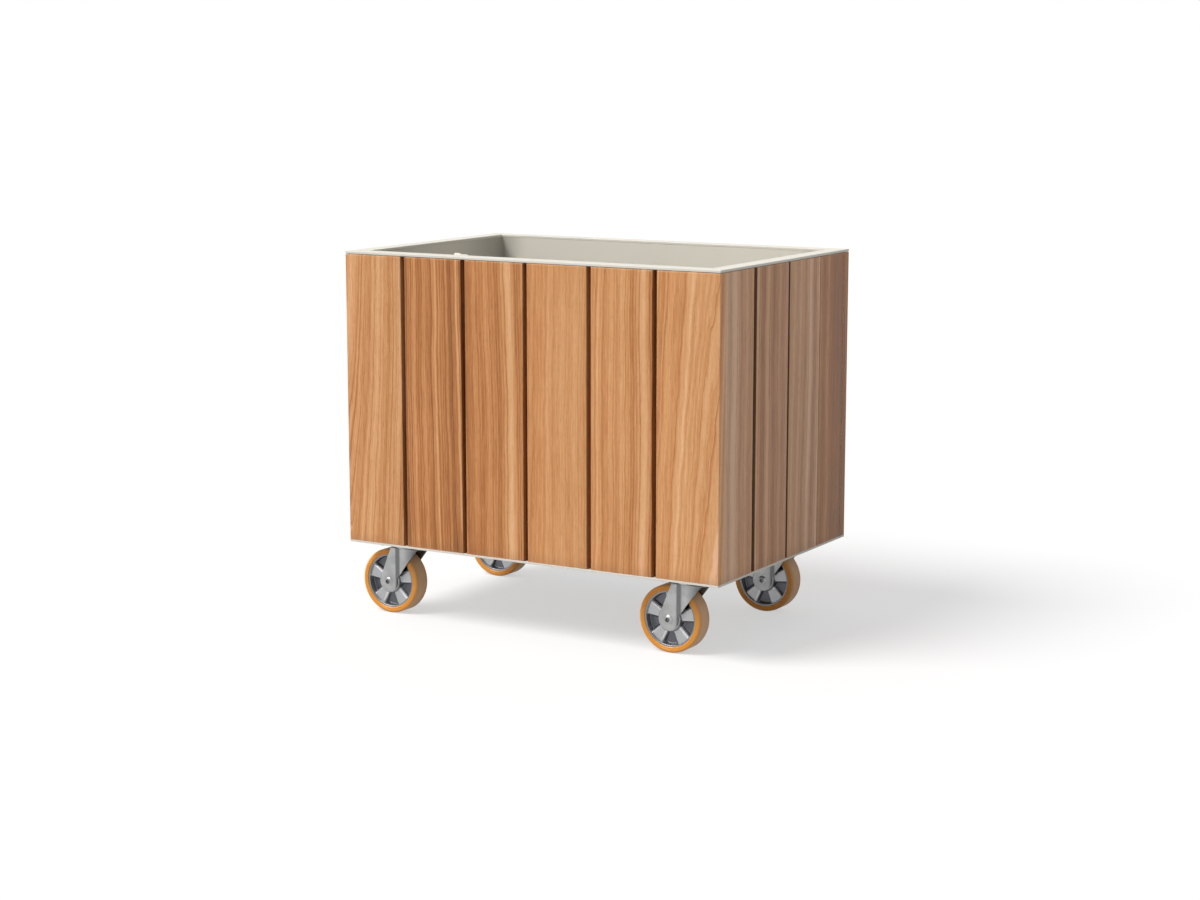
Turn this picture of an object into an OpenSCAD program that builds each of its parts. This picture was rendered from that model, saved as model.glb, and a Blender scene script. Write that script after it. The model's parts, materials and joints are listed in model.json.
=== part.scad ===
// Rolling planter: a sheet-metal tub clad in upright boards, carried on four swivel casters.
// Origin on the floor under the middle of the tub, +Z up, the long side along X, front at -Y.
// All four casters stand with their wheels trailing towards -X.

/* [Boards] */
// Width of a full board
board_w = 160; // [110:1:200]
// Thickness of a board
board_t = 28; // [18:1:40]
// Height of a board
board_h = 698; // [350:1:900]
// Number of boards along the front, and along the back
long_boards = 6; // [4:1:8]
// Gap between two boards of the front or the back
long_gap = 11; // [3:0.5:16]
// Width of the end board beside the front corner
end_front_w = 135; // [100:1:170]
// Width of the end board beside the back corner
end_back_w = 129; // [100:1:170]
// Gap between the first and the second end board, counted from the front
end_gap_1 = 16; // [2:0.5:20]
// Gap between the second and the third end board
end_gap_2 = 9; // [2:0.5:20]
// Gap between the third and the last end board
end_gap_3 = 2; // [1:0.5:20]
// Chamfer on a board's outer long edges
arris = 1.5; // [0.5:0.1:3]
// Joint between an end board and the long board that laps it
lap_joint = 0.5; // [0.2:0.1:2]

/* [Tub] */
// Space between the boards and the liner, taken up by the rails
cavity = 12; // [8:1:25]
// Sheet thickness of the liner
liner_t = 2; // [1:0.5:4]
// Thickness of the rim plate
rim_t = 6; // [2:0.5:8]
// Shadow gap between the board tops and the rim
rim_gap = 1; // [0.3:0.1:5]
// Thickness of the base plate
base_t = 5; // [4:0.5:10]
// Width of a bearer under the liner's floor
bearer_w = 40; // [20:1:50]
// Height of a bearer
bearer_h = 25; // [18:1:50]
// Wall of a bearer
bearer_wall = 2; // [1:0.5:3]
// Free space between an outer bearer and the heads of the caster bolts beside it
bearer_clear = 11; // [3:0.5:30]

/* [Rails and board screws] */
// Height of a rail
rail_h = 30; // [20:1:60]
// Sheet thickness of a rail
rail_t = 1.5; // [1:0.1:3]
// Distance from a board's end to the middle of the rail beside it
rail_inset = 90; // [50:5:150]
// Radius of a board screw
screw_r = 2.1; // [1.5:0.1:3]
// Length of a board screw inside the board
screw_bite = 17; // [8:1:17]
// Radius of a board screw's head
screw_head_r = 4.2; // [3.2:0.1:6]
// Height of a board screw's head
screw_head_h = 3; // [1.5:0.1:5]
// Distance from a board's long edge to its screws
screw_inset = 35; // [15:1:45]

/* [Drain and hose clip] */
// Bore radius of the drain spigot
drain_r = 13; // [6:0.5:20]
// Wall of the drain spigot
drain_wall = 3; // [1.5:0.5:5]
// How far the spigot stands out below the base plate
drain_drop = 15; // [5:1:60]
// Length of the hose clip along the rim
clip_l = 40; // [25:1:80]
// Length of the rolled eye at the clip's end
clip_eye_l = 17; // [8:1:24]
// Outer radius of the rolled eye
clip_eye_r = 5; // [3.5:0.5:8]
// Sheet thickness of the clip
clip_t = 2; // [1:0.1:3]
// Height of the clip on the liner's wall
clip_h = 30; // [20:1:60]
// How far the eye stands above the rim
clip_rise = 4; // [1:0.5:6]
// Middle of the clip, measured from the tub's left face
clip_x = 305; // [120:5:600]

/* [Wheel] */
// Wheel diameter over the tyre
wheel_d = 160; // [120:1:200]
// Width of the tyre
tyre_w = 50; // [35:1:60]
// Thickness of the tyre, from core to tread
tyre_t = 14; // [8:0.5:20]
// Radius of the tyre's shoulders
shoulder_r = 6; // [2:0.5:7]
// Thickness of the core's outer ring
core_ring_t = 4; // [3:0.5:8]
// Number of spokes
spokes = 5; // [3:1:8]
// Width of a spoke at the hub
spoke_hub_w = 16; // [8:1:24]
// Width of a spoke at the ring
spoke_ring_w = 30; // [12:1:40]
// Turn of the first spoke from +X towards +Z
spoke_turn = 16; // [0:1:71]
// Thickness of the closed web between the spokes
web_t = 12; // [6:1:20]
// How far the spokes lie below the ring's face
spoke_sink = 5; // [1:0.5:8]
// Wall of the hub around its bearings
hub_wall = 5.5; // [3:0.5:10]

/* [Bearings and axle] */
// Outer radius of a wheel bearing
bearing_r = 23.5; // [18:0.5:26]
// Width of a wheel bearing
bearing_w = 14; // [8:1:18]
// Outer radius of the sleeve on which the bearings run
sleeve_r = 10; // [8:0.5:13]
// Radius of the axle bolt
axle_r = 6; // [4:0.5:7]
// Radius of the axle bolt's head
axle_head_r = 11; // [9:0.5:14]
// Height of the axle bolt's head
axle_head_h = 4.5; // [3:0.5:8]

/* [Fork] */
// Distance from the swivel axis back to the axle
trail = 47.4; // [30:0.1:60]
// Sheet thickness of the fork
fork_t = 3.5; // [2.5:0.1:5]
// Free space between the tyre and a fork leg
leg_gap = 2; // [1:0.1:6]
// Free space between the tyre's top and the fork's crown
crown_gap = 7; // [4:0.5:15]
// Radius of a leg's round end
leg_end_r = 25; // [18:0.5:28]
// Lean of a leg's front edge from upright, degrees
leg_lean = 22; // [10:1:24]
// Slope of a leg's rear edge, degrees from level
leg_slope = 52.4; // [50:0.2:56]
// Half the crown's length
crown_half = 57; // [43:0.5:60]
// Depth of the bead pressed into each leg
bead_depth = 2; // [0.5:0.1:2]
// How far behind the axle a bead starts
bead_start = 21; // [18:1:24]
// How far behind the axle a bead is deepest
bead_deepest = 31; // [26:1:36]
// How far behind the axle a bead ends
bead_end = 45; // [38:1:52]

/* [Swivel head and mounting plate] */
// Radius of the swivel head
head_r = 40; // [37:0.5:44]
// Height of the fork's own race ring
fork_race_h = 3.5; // [3.2:0.1:6]
// Height of the race ring under the plate
plate_race_h = 4.7; // [4:0.1:8]
// Radius of a ball in the race
ball_r = 2.5; // [1.5:0.1:2.6]
// Radius of the circle of balls
ball_circle_r = 33; // [31:0.5:34]
// Number of balls in a race
balls = 20; // [12:1:24]
// Radius of the kingpin
kingpin_r = 6; // [5:0.5:8]
// Length of the mounting plate
plate_l = 140; // [134:1:160]
// Width of the mounting plate
plate_w = 110; // [106:1:130]
// Thickness of the mounting plate
plate_t = 6; // [5:0.5:10]
// Distance between the plate's bolts along X
bolt_span_x = 105; // [100:1:112]
// Distance between the plate's bolts along Y
bolt_span_y = 80; // [78:1:84]
// Radius of a mounting bolt
bolt_r = 5; // [4:0.5:6]
// Radius of a mounting bolt's hexagon, over its corners
bolt_hex_r = 9.5; // [8:0.5:11]
// Distance from the tub's end to the swivel axis
caster_inset_x = 114.5; // [100:0.5:150]
// Distance from the tub's front or back to the swivel axis
caster_inset_y = 94; // [80:0.5:130]

/* [Hidden] */
$fn = 64;
play = 0.05;              // radial running clearance of a pin in its hole
face_gap = 0.3;           // clearance between faces that turn past each other
seat_gap = 0.02;          // clearance round a piece that sits tight in its seat
overcut = 1;              // how far a cutting shape runs past the face it cuts
end_boards = 4;

// Heights, from the floor up
axle_z = wheel_d / 2;
crown_under = wheel_d + crown_gap;
crown_top = crown_under + fork_t;
fork_race_top = crown_top + fork_race_h;
plate_race_under = fork_race_top + face_gap;
plate_under = plate_race_under + plate_race_h;
base_under = plate_under + plate_t;
deck_z = base_under + base_t;
rim_under = deck_z + board_h + rim_gap;
rim_top = rim_under + rim_t;
floor_under = deck_z + bearer_h;

// The tub in plan
tub_l = long_boards * board_w + (long_boards - 1) * long_gap;
end_widths = [end_front_w, board_w, board_w, end_back_w];
end_gaps = [end_gap_1, end_gap_2, end_gap_3];
function total(list, count) = count <= 0 ? 0 : list[count - 1] + total(list, count - 1);
tub_w = 2 * board_t + total(end_widths, end_boards) + total(end_gaps, end_boards - 1);
wall_in = board_t + cavity;
rim_w = wall_in + liner_t;
liner_l = tub_l - 2 * wall_in;
liner_w = tub_w - 2 * wall_in;
rail_heights = [rail_inset, board_h - rail_inset];

// The wheel
core_r = axle_z - tyre_t;
ring_in_r = core_r - core_ring_t;
hub_r = bearing_r + hub_wall;
fork_in = tyre_w / 2 + leg_gap;
fork_out = fork_in + fork_t;
hub_half = fork_in - 2 * face_gap;
ring_half = tyre_w / 2 - 2;
spoke_half = ring_half - spoke_sink;
washer_t = 1.8;
washer_r = 13;
nut_h = 7;
nut_r = 10.6;
kingpin_nut_r = 11;
kingpin_end = 2;

corners = ["front_left", "front_right", "back_left", "back_right"];
corner_x = [-1, 1, -1, 1];
corner_y = [-1, -1, 1, 1];
caster_parts = ["top_plate", "ball_race", "fork", "axle", "bearings", "wheel_core", "tyre"];

wood_front = [0.80, 0.58, 0.40];
wood_end = [0.62, 0.47, 0.36];
cream = [0.92, 0.91, 0.87];
zinc = [0.68, 0.69, 0.70];
aluminium = [0.72, 0.73, 0.75];
steel = [0.55, 0.56, 0.58];
orange = [0.88, 0.57, 0.20];

// Points of an arc about c, from angle a to angle b
function arc(c, r, a, b, steps = 12) =
    [for (i = [0:steps]) let (t = a + (b - a) * i / steps) c + r * [cos(t), sin(t)]];

// ---- Places ----

// A board's own frame: x along its width, y from its outer face inwards, z up
module at_front(i) translate([-tub_l / 2 + i * (board_w + long_gap), -tub_w / 2, deck_z]) children();
module at_back(i) rotate([0, 0, 180]) at_front(i) children();
module at_right(i)
    translate([tub_l / 2, -tub_w / 2 + board_t + total(end_widths, i) + total(end_gaps, i), deck_z])
        rotate([0, 0, 90]) children();
module at_left(i) mirror([1, 0, 0]) at_right(i) children();

// A screw's own frame: z from the board's inner face into the board
module at_board_screws(w)
    for (z = rail_heights)
        for (x = [screw_inset, w - screw_inset])
            translate([x, board_t, z]) rotate([90, 0, 0]) children();

module at_all_screws() {
    for (i = [0:long_boards - 1]) {
        at_front(i) at_board_screws(board_w) children();
        at_back(i) at_board_screws(board_w) children();
    }
    for (i = [0:end_boards - 1]) {
        at_left(i) at_board_screws(end_widths[i]) children();
        at_right(i) at_board_screws(end_widths[i]) children();
    }
}

module at_caster(k)
    translate([corner_x[k] * (tub_l / 2 - caster_inset_x), corner_y[k] * (tub_w / 2 - caster_inset_y), 0])
        children();

module at_each_caster()
    for (k = [0:len(corners) - 1])
        at_caster(k) children();

module at_plate_bolts()
    for (x = [-1, 1])
        for (y = [-1, 1])
            translate([x * bolt_span_x / 2, y * bolt_span_y / 2, 0]) children();

// The axle's own frame: z along the axle from front to back, x and y as the side view
module at_axle() translate([-trail, 0, axle_z]) rotate([90, 0, 0]) mirror([0, 0, 1]) children();

// ---- Boards ----

// trim_a and trim_b shorten the board at its two long edges, for the lap joints at the corners
module board(w, trim_a = 0, trim_b = 0) {
    a = trim_a;
    b = w - trim_b;
    difference() {
        linear_extrude(board_h)
            polygon([[a + arris, 0], [b - arris, 0], [b, arris], [b, board_t], [a, board_t], [a, arris]]);
        at_board_screws(w)
            translate([0, 0, -overcut]) cylinder(r = screw_r + play, h = screw_bite + 2 * overcut, $fn = 20);
    }
}

module end_board(i) board(end_widths[i], i == 0 ? lap_joint : 0, i == end_boards - 1 ? lap_joint : 0);

// ---- Tub ----

// One mitred side of a rectangular ring: l long outside, its outer face at y = -w/2
module ring_side(l, w, t, h)
    linear_extrude(h)
        polygon([[-l / 2, -w / 2], [l / 2, -w / 2], [l / 2 - t, -w / 2 + t], [-l / 2 + t, -w / 2 + t]]);

module ring(l, w, t, h) {
    for (a = [0, 180])
        rotate([0, 0, a]) ring_side(l, w, t, h);
    for (a = [90, 270])
        rotate([0, 0, a]) ring_side(w, l, t, h);
}

module liner_walls()
    color(cream)
        translate([0, 0, floor_under])
            ring(liner_l, liner_w, liner_t, rim_under - floor_under);

module liner_floor()
    color(cream)
        difference() {
            translate([-liner_l / 2 + liner_t, -liner_w / 2 + liner_t, floor_under])
                cube([liner_l - 2 * liner_t, liner_w - 2 * liner_t, liner_t]);
            translate([0, 0, floor_under - overcut])
                cylinder(r = drain_r + drain_wall + seat_gap, h = liner_t + 2 * overcut);
        }

module rim()
    color(cream)
        translate([0, 0, rim_under]) ring(tub_l, tub_w, rim_w, rim_t);

module base_plate()
    color(cream)
        difference() {
            translate([-tub_l / 2, -tub_w / 2, base_under]) cube([tub_l, tub_w, base_t]);
            at_each_caster() at_plate_bolts()
                translate([0, 0, base_under - overcut]) cylinder(r = bolt_r + 0.5, h = base_t + 2 * overcut);
            translate([0, 0, base_under - overcut])
                cylinder(r = drain_r + 2 * drain_wall, h = base_t + 2 * overcut);
        }

// Rectangular tubes from front to back, two each side of the drain; the outer two stand just inside
// the caster bolts
module floor_bearers() {
    outer_x = tub_l / 2 - caster_inset_x - bolt_span_x / 2 - bolt_hex_r - bearer_clear - bearer_w / 2;
    color(cream)
        for (x = [-outer_x, -outer_x / 3, outer_x / 3, outer_x])
            translate([x, 0, deck_z + bearer_h / 2])
                rotate([90, 0, 0])
                    linear_extrude(liner_w - 2 * liner_t, center = true)
                        difference() {
                            square([bearer_w, bearer_h], center = true);
                            square([bearer_w - 2 * bearer_wall, bearer_h - 2 * bearer_wall], center = true);
                        }
}

// A channel l long: its web lies on the boards at y = 0 and its flanges reach the liner
module rail(l)
    rotate([90, 0, 90])
        linear_extrude(l, center = true)
            polygon([[0, -rail_h / 2], [cavity, -rail_h / 2], [cavity, -rail_h / 2 + rail_t],
                     [rail_t, -rail_h / 2 + rail_t], [rail_t, rail_h / 2 - rail_t],
                     [cavity, rail_h / 2 - rail_t], [cavity, rail_h / 2], [0, rail_h / 2]]);

module board_rails()
    color(steel)
        difference() {
            for (z = rail_heights)
                translate([0, 0, deck_z + z]) {
                    for (a = [0, 180])
                        rotate([0, 0, a])
                            translate([0, -tub_w / 2 + board_t, 0]) rail(tub_l - 2 * board_t - 2 * face_gap);
                    for (a = [90, 270])
                        rotate([0, 0, a])
                            translate([0, -tub_l / 2 + board_t, 0]) rail(liner_w - 2 * face_gap);
                }
            at_all_screws()
                translate([0, 0, -rail_t - overcut])
                    cylinder(r = screw_r + play, h = rail_t + 2 * overcut, $fn = 20);
        }

module board_screws()
    color(steel)
        at_all_screws()
            rotate_extrude($fn = 20)
                polygon([[0, -rail_t - screw_head_h], [screw_head_r * 0.7, -rail_t - screw_head_h],
                         [screw_head_r, -rail_t - screw_head_h * 0.6], [screw_head_r, -rail_t],
                         [screw_r, -rail_t], [screw_r, screw_bite - screw_r], [0, screw_bite]]);

module drain_spigot()
    color(cream)
        translate([0, 0, base_under - drain_drop])
            difference() {
                h = floor_under + liner_t - base_under + drain_drop;
                cylinder(r = drain_r + drain_wall, h = h);
                translate([0, 0, -overcut]) cylinder(r = drain_r, h = h + 2 * overcut);
            }

// A strap on the liner's inner face, rolled into an eye at its left end
module hose_clip() {
    eye_z = rim_top + clip_rise - clip_eye_r;
    wall_y = -tub_w / 2 + rim_w;
    color(cream)
        translate([-tub_l / 2 + clip_x - clip_l / 2, wall_y, 0])
            difference() {
                union() {
                    translate([0, 0, eye_z - clip_h]) cube([clip_eye_l, clip_t, clip_h]);
                    translate([clip_eye_l, 0, eye_z - clip_h])
                        cube([clip_l - clip_eye_l, clip_t, rim_top + clip_rise / 2 - eye_z + clip_h]);
                    translate([0, clip_eye_r, eye_z])
                        rotate([0, 90, 0]) cylinder(r = clip_eye_r, h = clip_eye_l);
                }
                translate([-overcut, clip_eye_r, eye_z])
                    rotate([0, 90, 0]) cylinder(r = clip_eye_r - clip_t, h = clip_eye_l + overcut);
            }
}

// ---- Caster, standing on its own swivel axis ----

module top_plate()
    color(zinc)
        difference() {
            translate([0, 0, plate_under]) linear_extrude(plate_t) rounded_rect(plate_l, plate_w, 10);
            translate([0, 0, plate_under - overcut])
                at_plate_bolts() cylinder(r = bolt_r + 0.5, h = plate_t + 2 * overcut);
            translate([0, 0, plate_under - overcut])
                cylinder(r = kingpin_r + seat_gap, h = plate_t + 2 * overcut);
            translate([0, 0, base_under - kingpin_r])
                cylinder(r1 = kingpin_r + seat_gap, r2 = 2 * kingpin_r + seat_gap, h = kingpin_r);
        }

module rounded_rect(l, w, r) {
    square([l - 2 * r, w], center = true);
    square([l, w - 2 * r], center = true);
    for (x = [-1, 1])
        for (y = [-1, 1])
            translate([x * (l / 2 - r), y * (w / 2 - r)]) circle(r);
}

// Flat ring from the kingpin's clearance out to the swivel head's edge
module race_ring(h)
    rotate_extrude()
        translate([ball_circle_r - 8, 0]) square([head_r - ball_circle_r + 8, h]);

module ball_groove()
    rotate_extrude()
        translate([ball_circle_r, 0]) circle(ball_r + face_gap / 2, $fn = 32);

module ball_race() {
    ball_z = fork_race_top + face_gap / 2;
    color(steel) {
        difference() {
            translate([0, 0, plate_race_under]) race_ring(plate_race_h);
            translate([0, 0, ball_z]) ball_groove();
        }
        for (i = [1:balls])
            rotate([0, 0, i * 360 / balls])
                translate([ball_circle_r, 0, ball_z]) sphere(ball_r, $fn = 24);
    }
}

module kingpin() {
    nut_z = crown_under - face_gap - washer_t - nut_h;
    color(zinc) {
        translate([0, 0, nut_z - kingpin_end])
            cylinder(r = kingpin_r, h = base_under - kingpin_r - nut_z + kingpin_end);
        translate([0, 0, base_under - kingpin_r])
            cylinder(r1 = kingpin_r, r2 = 2 * kingpin_r, h = kingpin_r);
    }
    color(steel) {
        difference() {
            translate([0, 0, nut_z]) cylinder(r = kingpin_nut_r, h = nut_h, $fn = 6);
            translate([0, 0, nut_z - overcut]) cylinder(r = kingpin_r + seat_gap, h = nut_h + 2 * overcut);
        }
        difference() {
            translate([0, 0, nut_z + nut_h]) cylinder(r = washer_r, h = washer_t);
            translate([0, 0, nut_z]) cylinder(r = kingpin_r + seat_gap, h = nut_h + washer_t + overcut);
        }
    }
}

// The fork seen from the front side, about the axle
leg_front = 180 - leg_lean;
leg_top = crown_top - axle_z;
slope_x = 24;
slope_z = 8;
slope_end_z = leg_top - 13.5;
slope_end_x = slope_x + (slope_end_z - slope_z) / tan(leg_slope);
flare_r = 33;
flare_c = [slope_end_x + flare_r * sin(leg_slope), slope_end_z - flare_r * cos(leg_slope)];
flare_end = 180 - asin((leg_top - fork_t - flare_c.y) / flare_r);
function fork_side() = concat(
    arc([0, 0], leg_end_r, 18, leg_front - 360, 24),
    [[leg_end_r * cos(leg_front) + (leg_top - leg_end_r * sin(leg_front)) * tan(leg_lean), leg_top],
     [trail + crown_half, leg_top],
     [trail + crown_half, leg_top - fork_t]],
    [for (p = arc(flare_c, flare_r, flare_end, 90 + leg_slope, 8)) [min(p.x, trail + crown_half), p.y]],
    [[slope_x, slope_z]]
);

// The fork seen along X: two legs and a crown bent from one sheet
module fork_bend() {
    bend_r = 2 * fork_t;
    leg_h = crown_top - bend_r;
    for (y = [-1, 1])
        translate([y * (fork_in + fork_t / 2), leg_h / 2]) square([fork_t, leg_h], center = true);
    translate([0, crown_under + fork_t / 2]) square([2 * (fork_out - bend_r), fork_t], center = true);
    for (side = [0, 1])
        mirror([side, 0])
            translate([fork_out - bend_r, crown_top - bend_r])
                difference() {
                    circle(bend_r);
                    circle(bend_r - fork_t);
                    translate([-2 * bend_r, -bend_r]) square([2 * bend_r, 2 * bend_r]);
                    translate([-bend_r, -2 * bend_r]) square([2 * bend_r, 2 * bend_r]);
                }
}

// Beads pressed into the legs behind the axle: a steep flank and a long shallow one
module fork_beads()
    for (side = [0, 1])
        mirror([0, side, 0])
            translate([-trail, 0, axle_z - leg_end_r])
                linear_extrude(crown_top)
                    polygon([[bead_start, -fork_out - overcut], [bead_start, -fork_out],
                             [bead_deepest, -fork_out + bead_depth],
                             [bead_end, -fork_out], [bead_end, -fork_out - overcut]]);

module fork()
    color(zinc)
        difference() {
            union() {
                difference() {
                    intersection() {
                        rotate([90, 0, 90]) linear_extrude(4 * crown_half, center = true) fork_bend();
                        at_axle() linear_extrude(2 * fork_out, center = true) polygon(fork_side());
                    }
                    fork_beads();
                }
                translate([0, 0, crown_top - fork_t / 2]) race_ring(fork_race_h + fork_t / 2);
            }
            translate([0, 0, fork_race_top + face_gap / 2]) ball_groove();
            translate([0, 0, crown_under - overcut])
                cylinder(r = kingpin_r + play, h = fork_t + fork_race_h + 2 * overcut);
            at_axle() cylinder(r = axle_r + play, h = 2 * fork_out + 2 * overcut, center = true);
        }

// Domed bolt from the front, nut and washer at the back, and the sleeve between the legs
module axle()
    at_axle() {
        color(zinc)
            difference() {
                rotate_extrude()
                    polygon(concat(
                        [[0, -fork_out - axle_head_h], [axle_head_r * 0.55, -fork_out - axle_head_h]],
                        [for (t = [20:10:90])
                            [axle_head_r * (0.55 + 0.45 * sin(t)), -fork_out - axle_head_h * cos(t)]],
                        [[axle_r, -fork_out], [axle_r, fork_out + washer_t + nut_h + 2],
                         [0, fork_out + washer_t + nut_h + 2]]));
                translate([0, 0, -fork_out - axle_head_h - overcut])
                    cylinder(r = axle_head_r * 0.42, h = axle_head_h * 0.6 + overcut, $fn = 6);
            }
        color(steel) {
            difference() {
                cylinder(r = sleeve_r - play, h = 2 * fork_in, center = true);
                cylinder(r = axle_r + play, h = 2 * fork_in + 2 * overcut, center = true);
            }
            translate([0, 0, fork_out])
                difference() {
                    union() {
                        cylinder(r = washer_r, h = washer_t);
                        translate([0, 0, washer_t]) cylinder(r = nut_r, h = nut_h, $fn = 6);
                    }
                    translate([0, 0, -overcut])
                        cylinder(r = axle_r + play, h = washer_t + nut_h + 2 * overcut);
                }
        }
    }

// Two closed cartridges, one in each end of the hub, with a dished shield on their outer side
module bearings()
    at_axle()
        color(steel)
            for (side = [0, 1])
                mirror([0, 0, side])
                    rotate_extrude()
                        polygon([[sleeve_r, hub_half - bearing_w], [bearing_r, hub_half - bearing_w],
                                 [bearing_r, hub_half], [bearing_r - 3, hub_half],
                                 [bearing_r - 3.6, hub_half - 1], [sleeve_r + 3.6, hub_half - 1],
                                 [sleeve_r + 3, hub_half], [sleeve_r, hub_half]]);

// Cast core: hub, closed web, ring and raised spokes
module wheel_core() {
    seat_in = hub_half - bearing_w;
    seat_r = bearing_r + seat_gap;
    at_axle()
        color(aluminium)
            difference() {
                union() {
                    cylinder(r = hub_r, h = 2 * hub_half, center = true);
                    cylinder(r = ring_in_r + core_ring_t / 2, h = web_t, center = true);
                    difference() {
                        cylinder(r = core_r, h = 2 * ring_half, center = true);
                        cylinder(r = ring_in_r, h = 2 * ring_half + overcut, center = true);
                    }
                    for (i = [0:spokes - 1])
                        rotate([0, 0, spoke_turn + i * 360 / spokes])
                            linear_extrude(2 * spoke_half, center = true)
                                polygon([[hub_r - 3, -spoke_hub_w / 2], [ring_in_r + 1, -spoke_ring_w / 2],
                                         [ring_in_r + 1, spoke_ring_w / 2], [hub_r - 3, spoke_hub_w / 2]]);
                }
                cylinder(r = sleeve_r + 2, h = 2 * hub_half + 2 * overcut, center = true);
                for (side = [0, 1])
                    mirror([0, 0, side])
                        translate([0, 0, seat_in]) cylinder(r = seat_r, h = bearing_w + overcut);
            }
}

module tyre() {
    half = tyre_w / 2;
    s = shoulder_r;
    at_axle()
        color(orange)
            rotate_extrude($fn = 96)
                polygon(concat(
                    [[core_r + seat_gap, -ring_half], [core_r + 2, -half]],
                    arc([axle_z - s, -half + s], s, -90, 0, 8),
                    arc([axle_z - s, half - s], s, 0, 90, 8),
                    [[core_r + 2, half], [core_r + seat_gap, ring_half]]));
}

// Bolts up through plate and base plate, with their nuts above it
module caster_bolts() {
    bolt_head_h = 6.4;
    bolt_nut_h = 8;
    at_each_caster() at_plate_bolts() {
        color(zinc) {
            translate([0, 0, plate_under - bolt_head_h]) cylinder(r = bolt_hex_r, h = bolt_head_h, $fn = 6);
            translate([0, 0, plate_under]) cylinder(r = bolt_r, h = plate_t + base_t + bolt_nut_h + 2);
        }
        color(steel)
            translate([0, 0, deck_z])
                difference() {
                    cylinder(r = bolt_hex_r, h = bolt_nut_h, $fn = 6);
                    translate([0, 0, -overcut]) cylinder(r = bolt_r + play, h = bolt_nut_h + 2 * overcut);
                }
    }
}

// ---- Assembly ----

for (i = [0:long_boards - 1]) {
    color(wood_front) at_front(i) board(board_w);
    color(wood_front) at_back(i) board(board_w);
}
for (i = [0:end_boards - 1]) {
    color(wood_end) at_left(i) end_board(i);
    color(wood_end) at_right(i) end_board(i);
}
liner_walls();
liner_floor();
rim();
base_plate();
floor_bearers();
board_rails();
board_screws();
caster_bolts();
at_each_caster() kingpin();  // kingpins
drain_spigot();
hose_clip();
for (k = [0:len(corners) - 1])
    at_caster(k) {
        top_plate();
        ball_race();
        fork();
        axle();
        bearings();
        wheel_core();
        tyre();
    }
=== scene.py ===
# %% [markdown]
# # A rolling planter
# The planter is a metal tub clad in upright boards. It stands on four swivel casters with cast wheels and
# orange tyres. The frame loaded here already knows where every piece sits and how it turns, so each piece is
# modelled in its real place, in metres, and nothing has to be fitted afterwards.

import json
from math import asin, atan2, cos, hypot, inf, pi, radians, sin, sqrt, tan

import bmesh
import bpy
from mathutils import Matrix, Vector


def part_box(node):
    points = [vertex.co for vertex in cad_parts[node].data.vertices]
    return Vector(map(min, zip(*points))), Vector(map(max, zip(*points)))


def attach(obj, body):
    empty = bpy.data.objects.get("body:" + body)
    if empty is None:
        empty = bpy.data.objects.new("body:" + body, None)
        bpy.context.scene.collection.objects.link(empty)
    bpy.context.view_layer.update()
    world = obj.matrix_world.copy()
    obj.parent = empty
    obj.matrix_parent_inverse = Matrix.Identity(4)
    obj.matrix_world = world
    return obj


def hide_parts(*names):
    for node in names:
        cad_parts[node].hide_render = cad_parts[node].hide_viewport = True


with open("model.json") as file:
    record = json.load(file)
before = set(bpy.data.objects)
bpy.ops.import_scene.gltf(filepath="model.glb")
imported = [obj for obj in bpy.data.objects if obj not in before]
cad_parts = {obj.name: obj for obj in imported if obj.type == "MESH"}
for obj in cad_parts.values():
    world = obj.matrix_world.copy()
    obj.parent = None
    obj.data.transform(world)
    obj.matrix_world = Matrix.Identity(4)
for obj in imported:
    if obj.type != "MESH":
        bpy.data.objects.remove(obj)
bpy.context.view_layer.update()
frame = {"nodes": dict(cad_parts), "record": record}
MM = 0.001


def add_object(name, data):
    """Puts an object into the scene that shows this mesh, lamp or camera."""
    thing = bpy.data.objects.new(name, data)
    bpy.context.scene.collection.objects.link(thing)
    return thing


# %% [markdown]
# ## The camera
# The planter was photographed from the front right with a long lens. The place and the lens come from
# matching the tub's corners and the joints between the boards, so the render lies over the photo.

# %% Camera
CAMERA_PLACE = (2.90485, -4.91092, 1.36585)
CAMERA_LENS = 71.07
CAMERA_PITCH = 80.453
CAMERA_YAW = 30.566

camera_data = bpy.data.cameras.new("camera")
camera_data.lens = CAMERA_LENS
camera = add_object("camera", camera_data)
camera.location = CAMERA_PLACE
camera.rotation_euler = (radians(CAMERA_PITCH), 0, radians(CAMERA_YAW))
bpy.context.scene.camera = camera
bpy.context.scene.view_settings.view_transform = "Standard"
print("camera stands", round(camera.location.length, 2), "m from the planter")

# %% [markdown]
# ## Words for materials
# A material is a small graph of nodes, and so is the sky. Writing each node out takes many lines, so the
# first class gives the few kinds used here short names. Every method adds one node or a few and returns
# their output, ready to be plugged into the next. The second class adds the words that only a surface
# needs. A number that is the same all over goes straight onto the shader.


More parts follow.
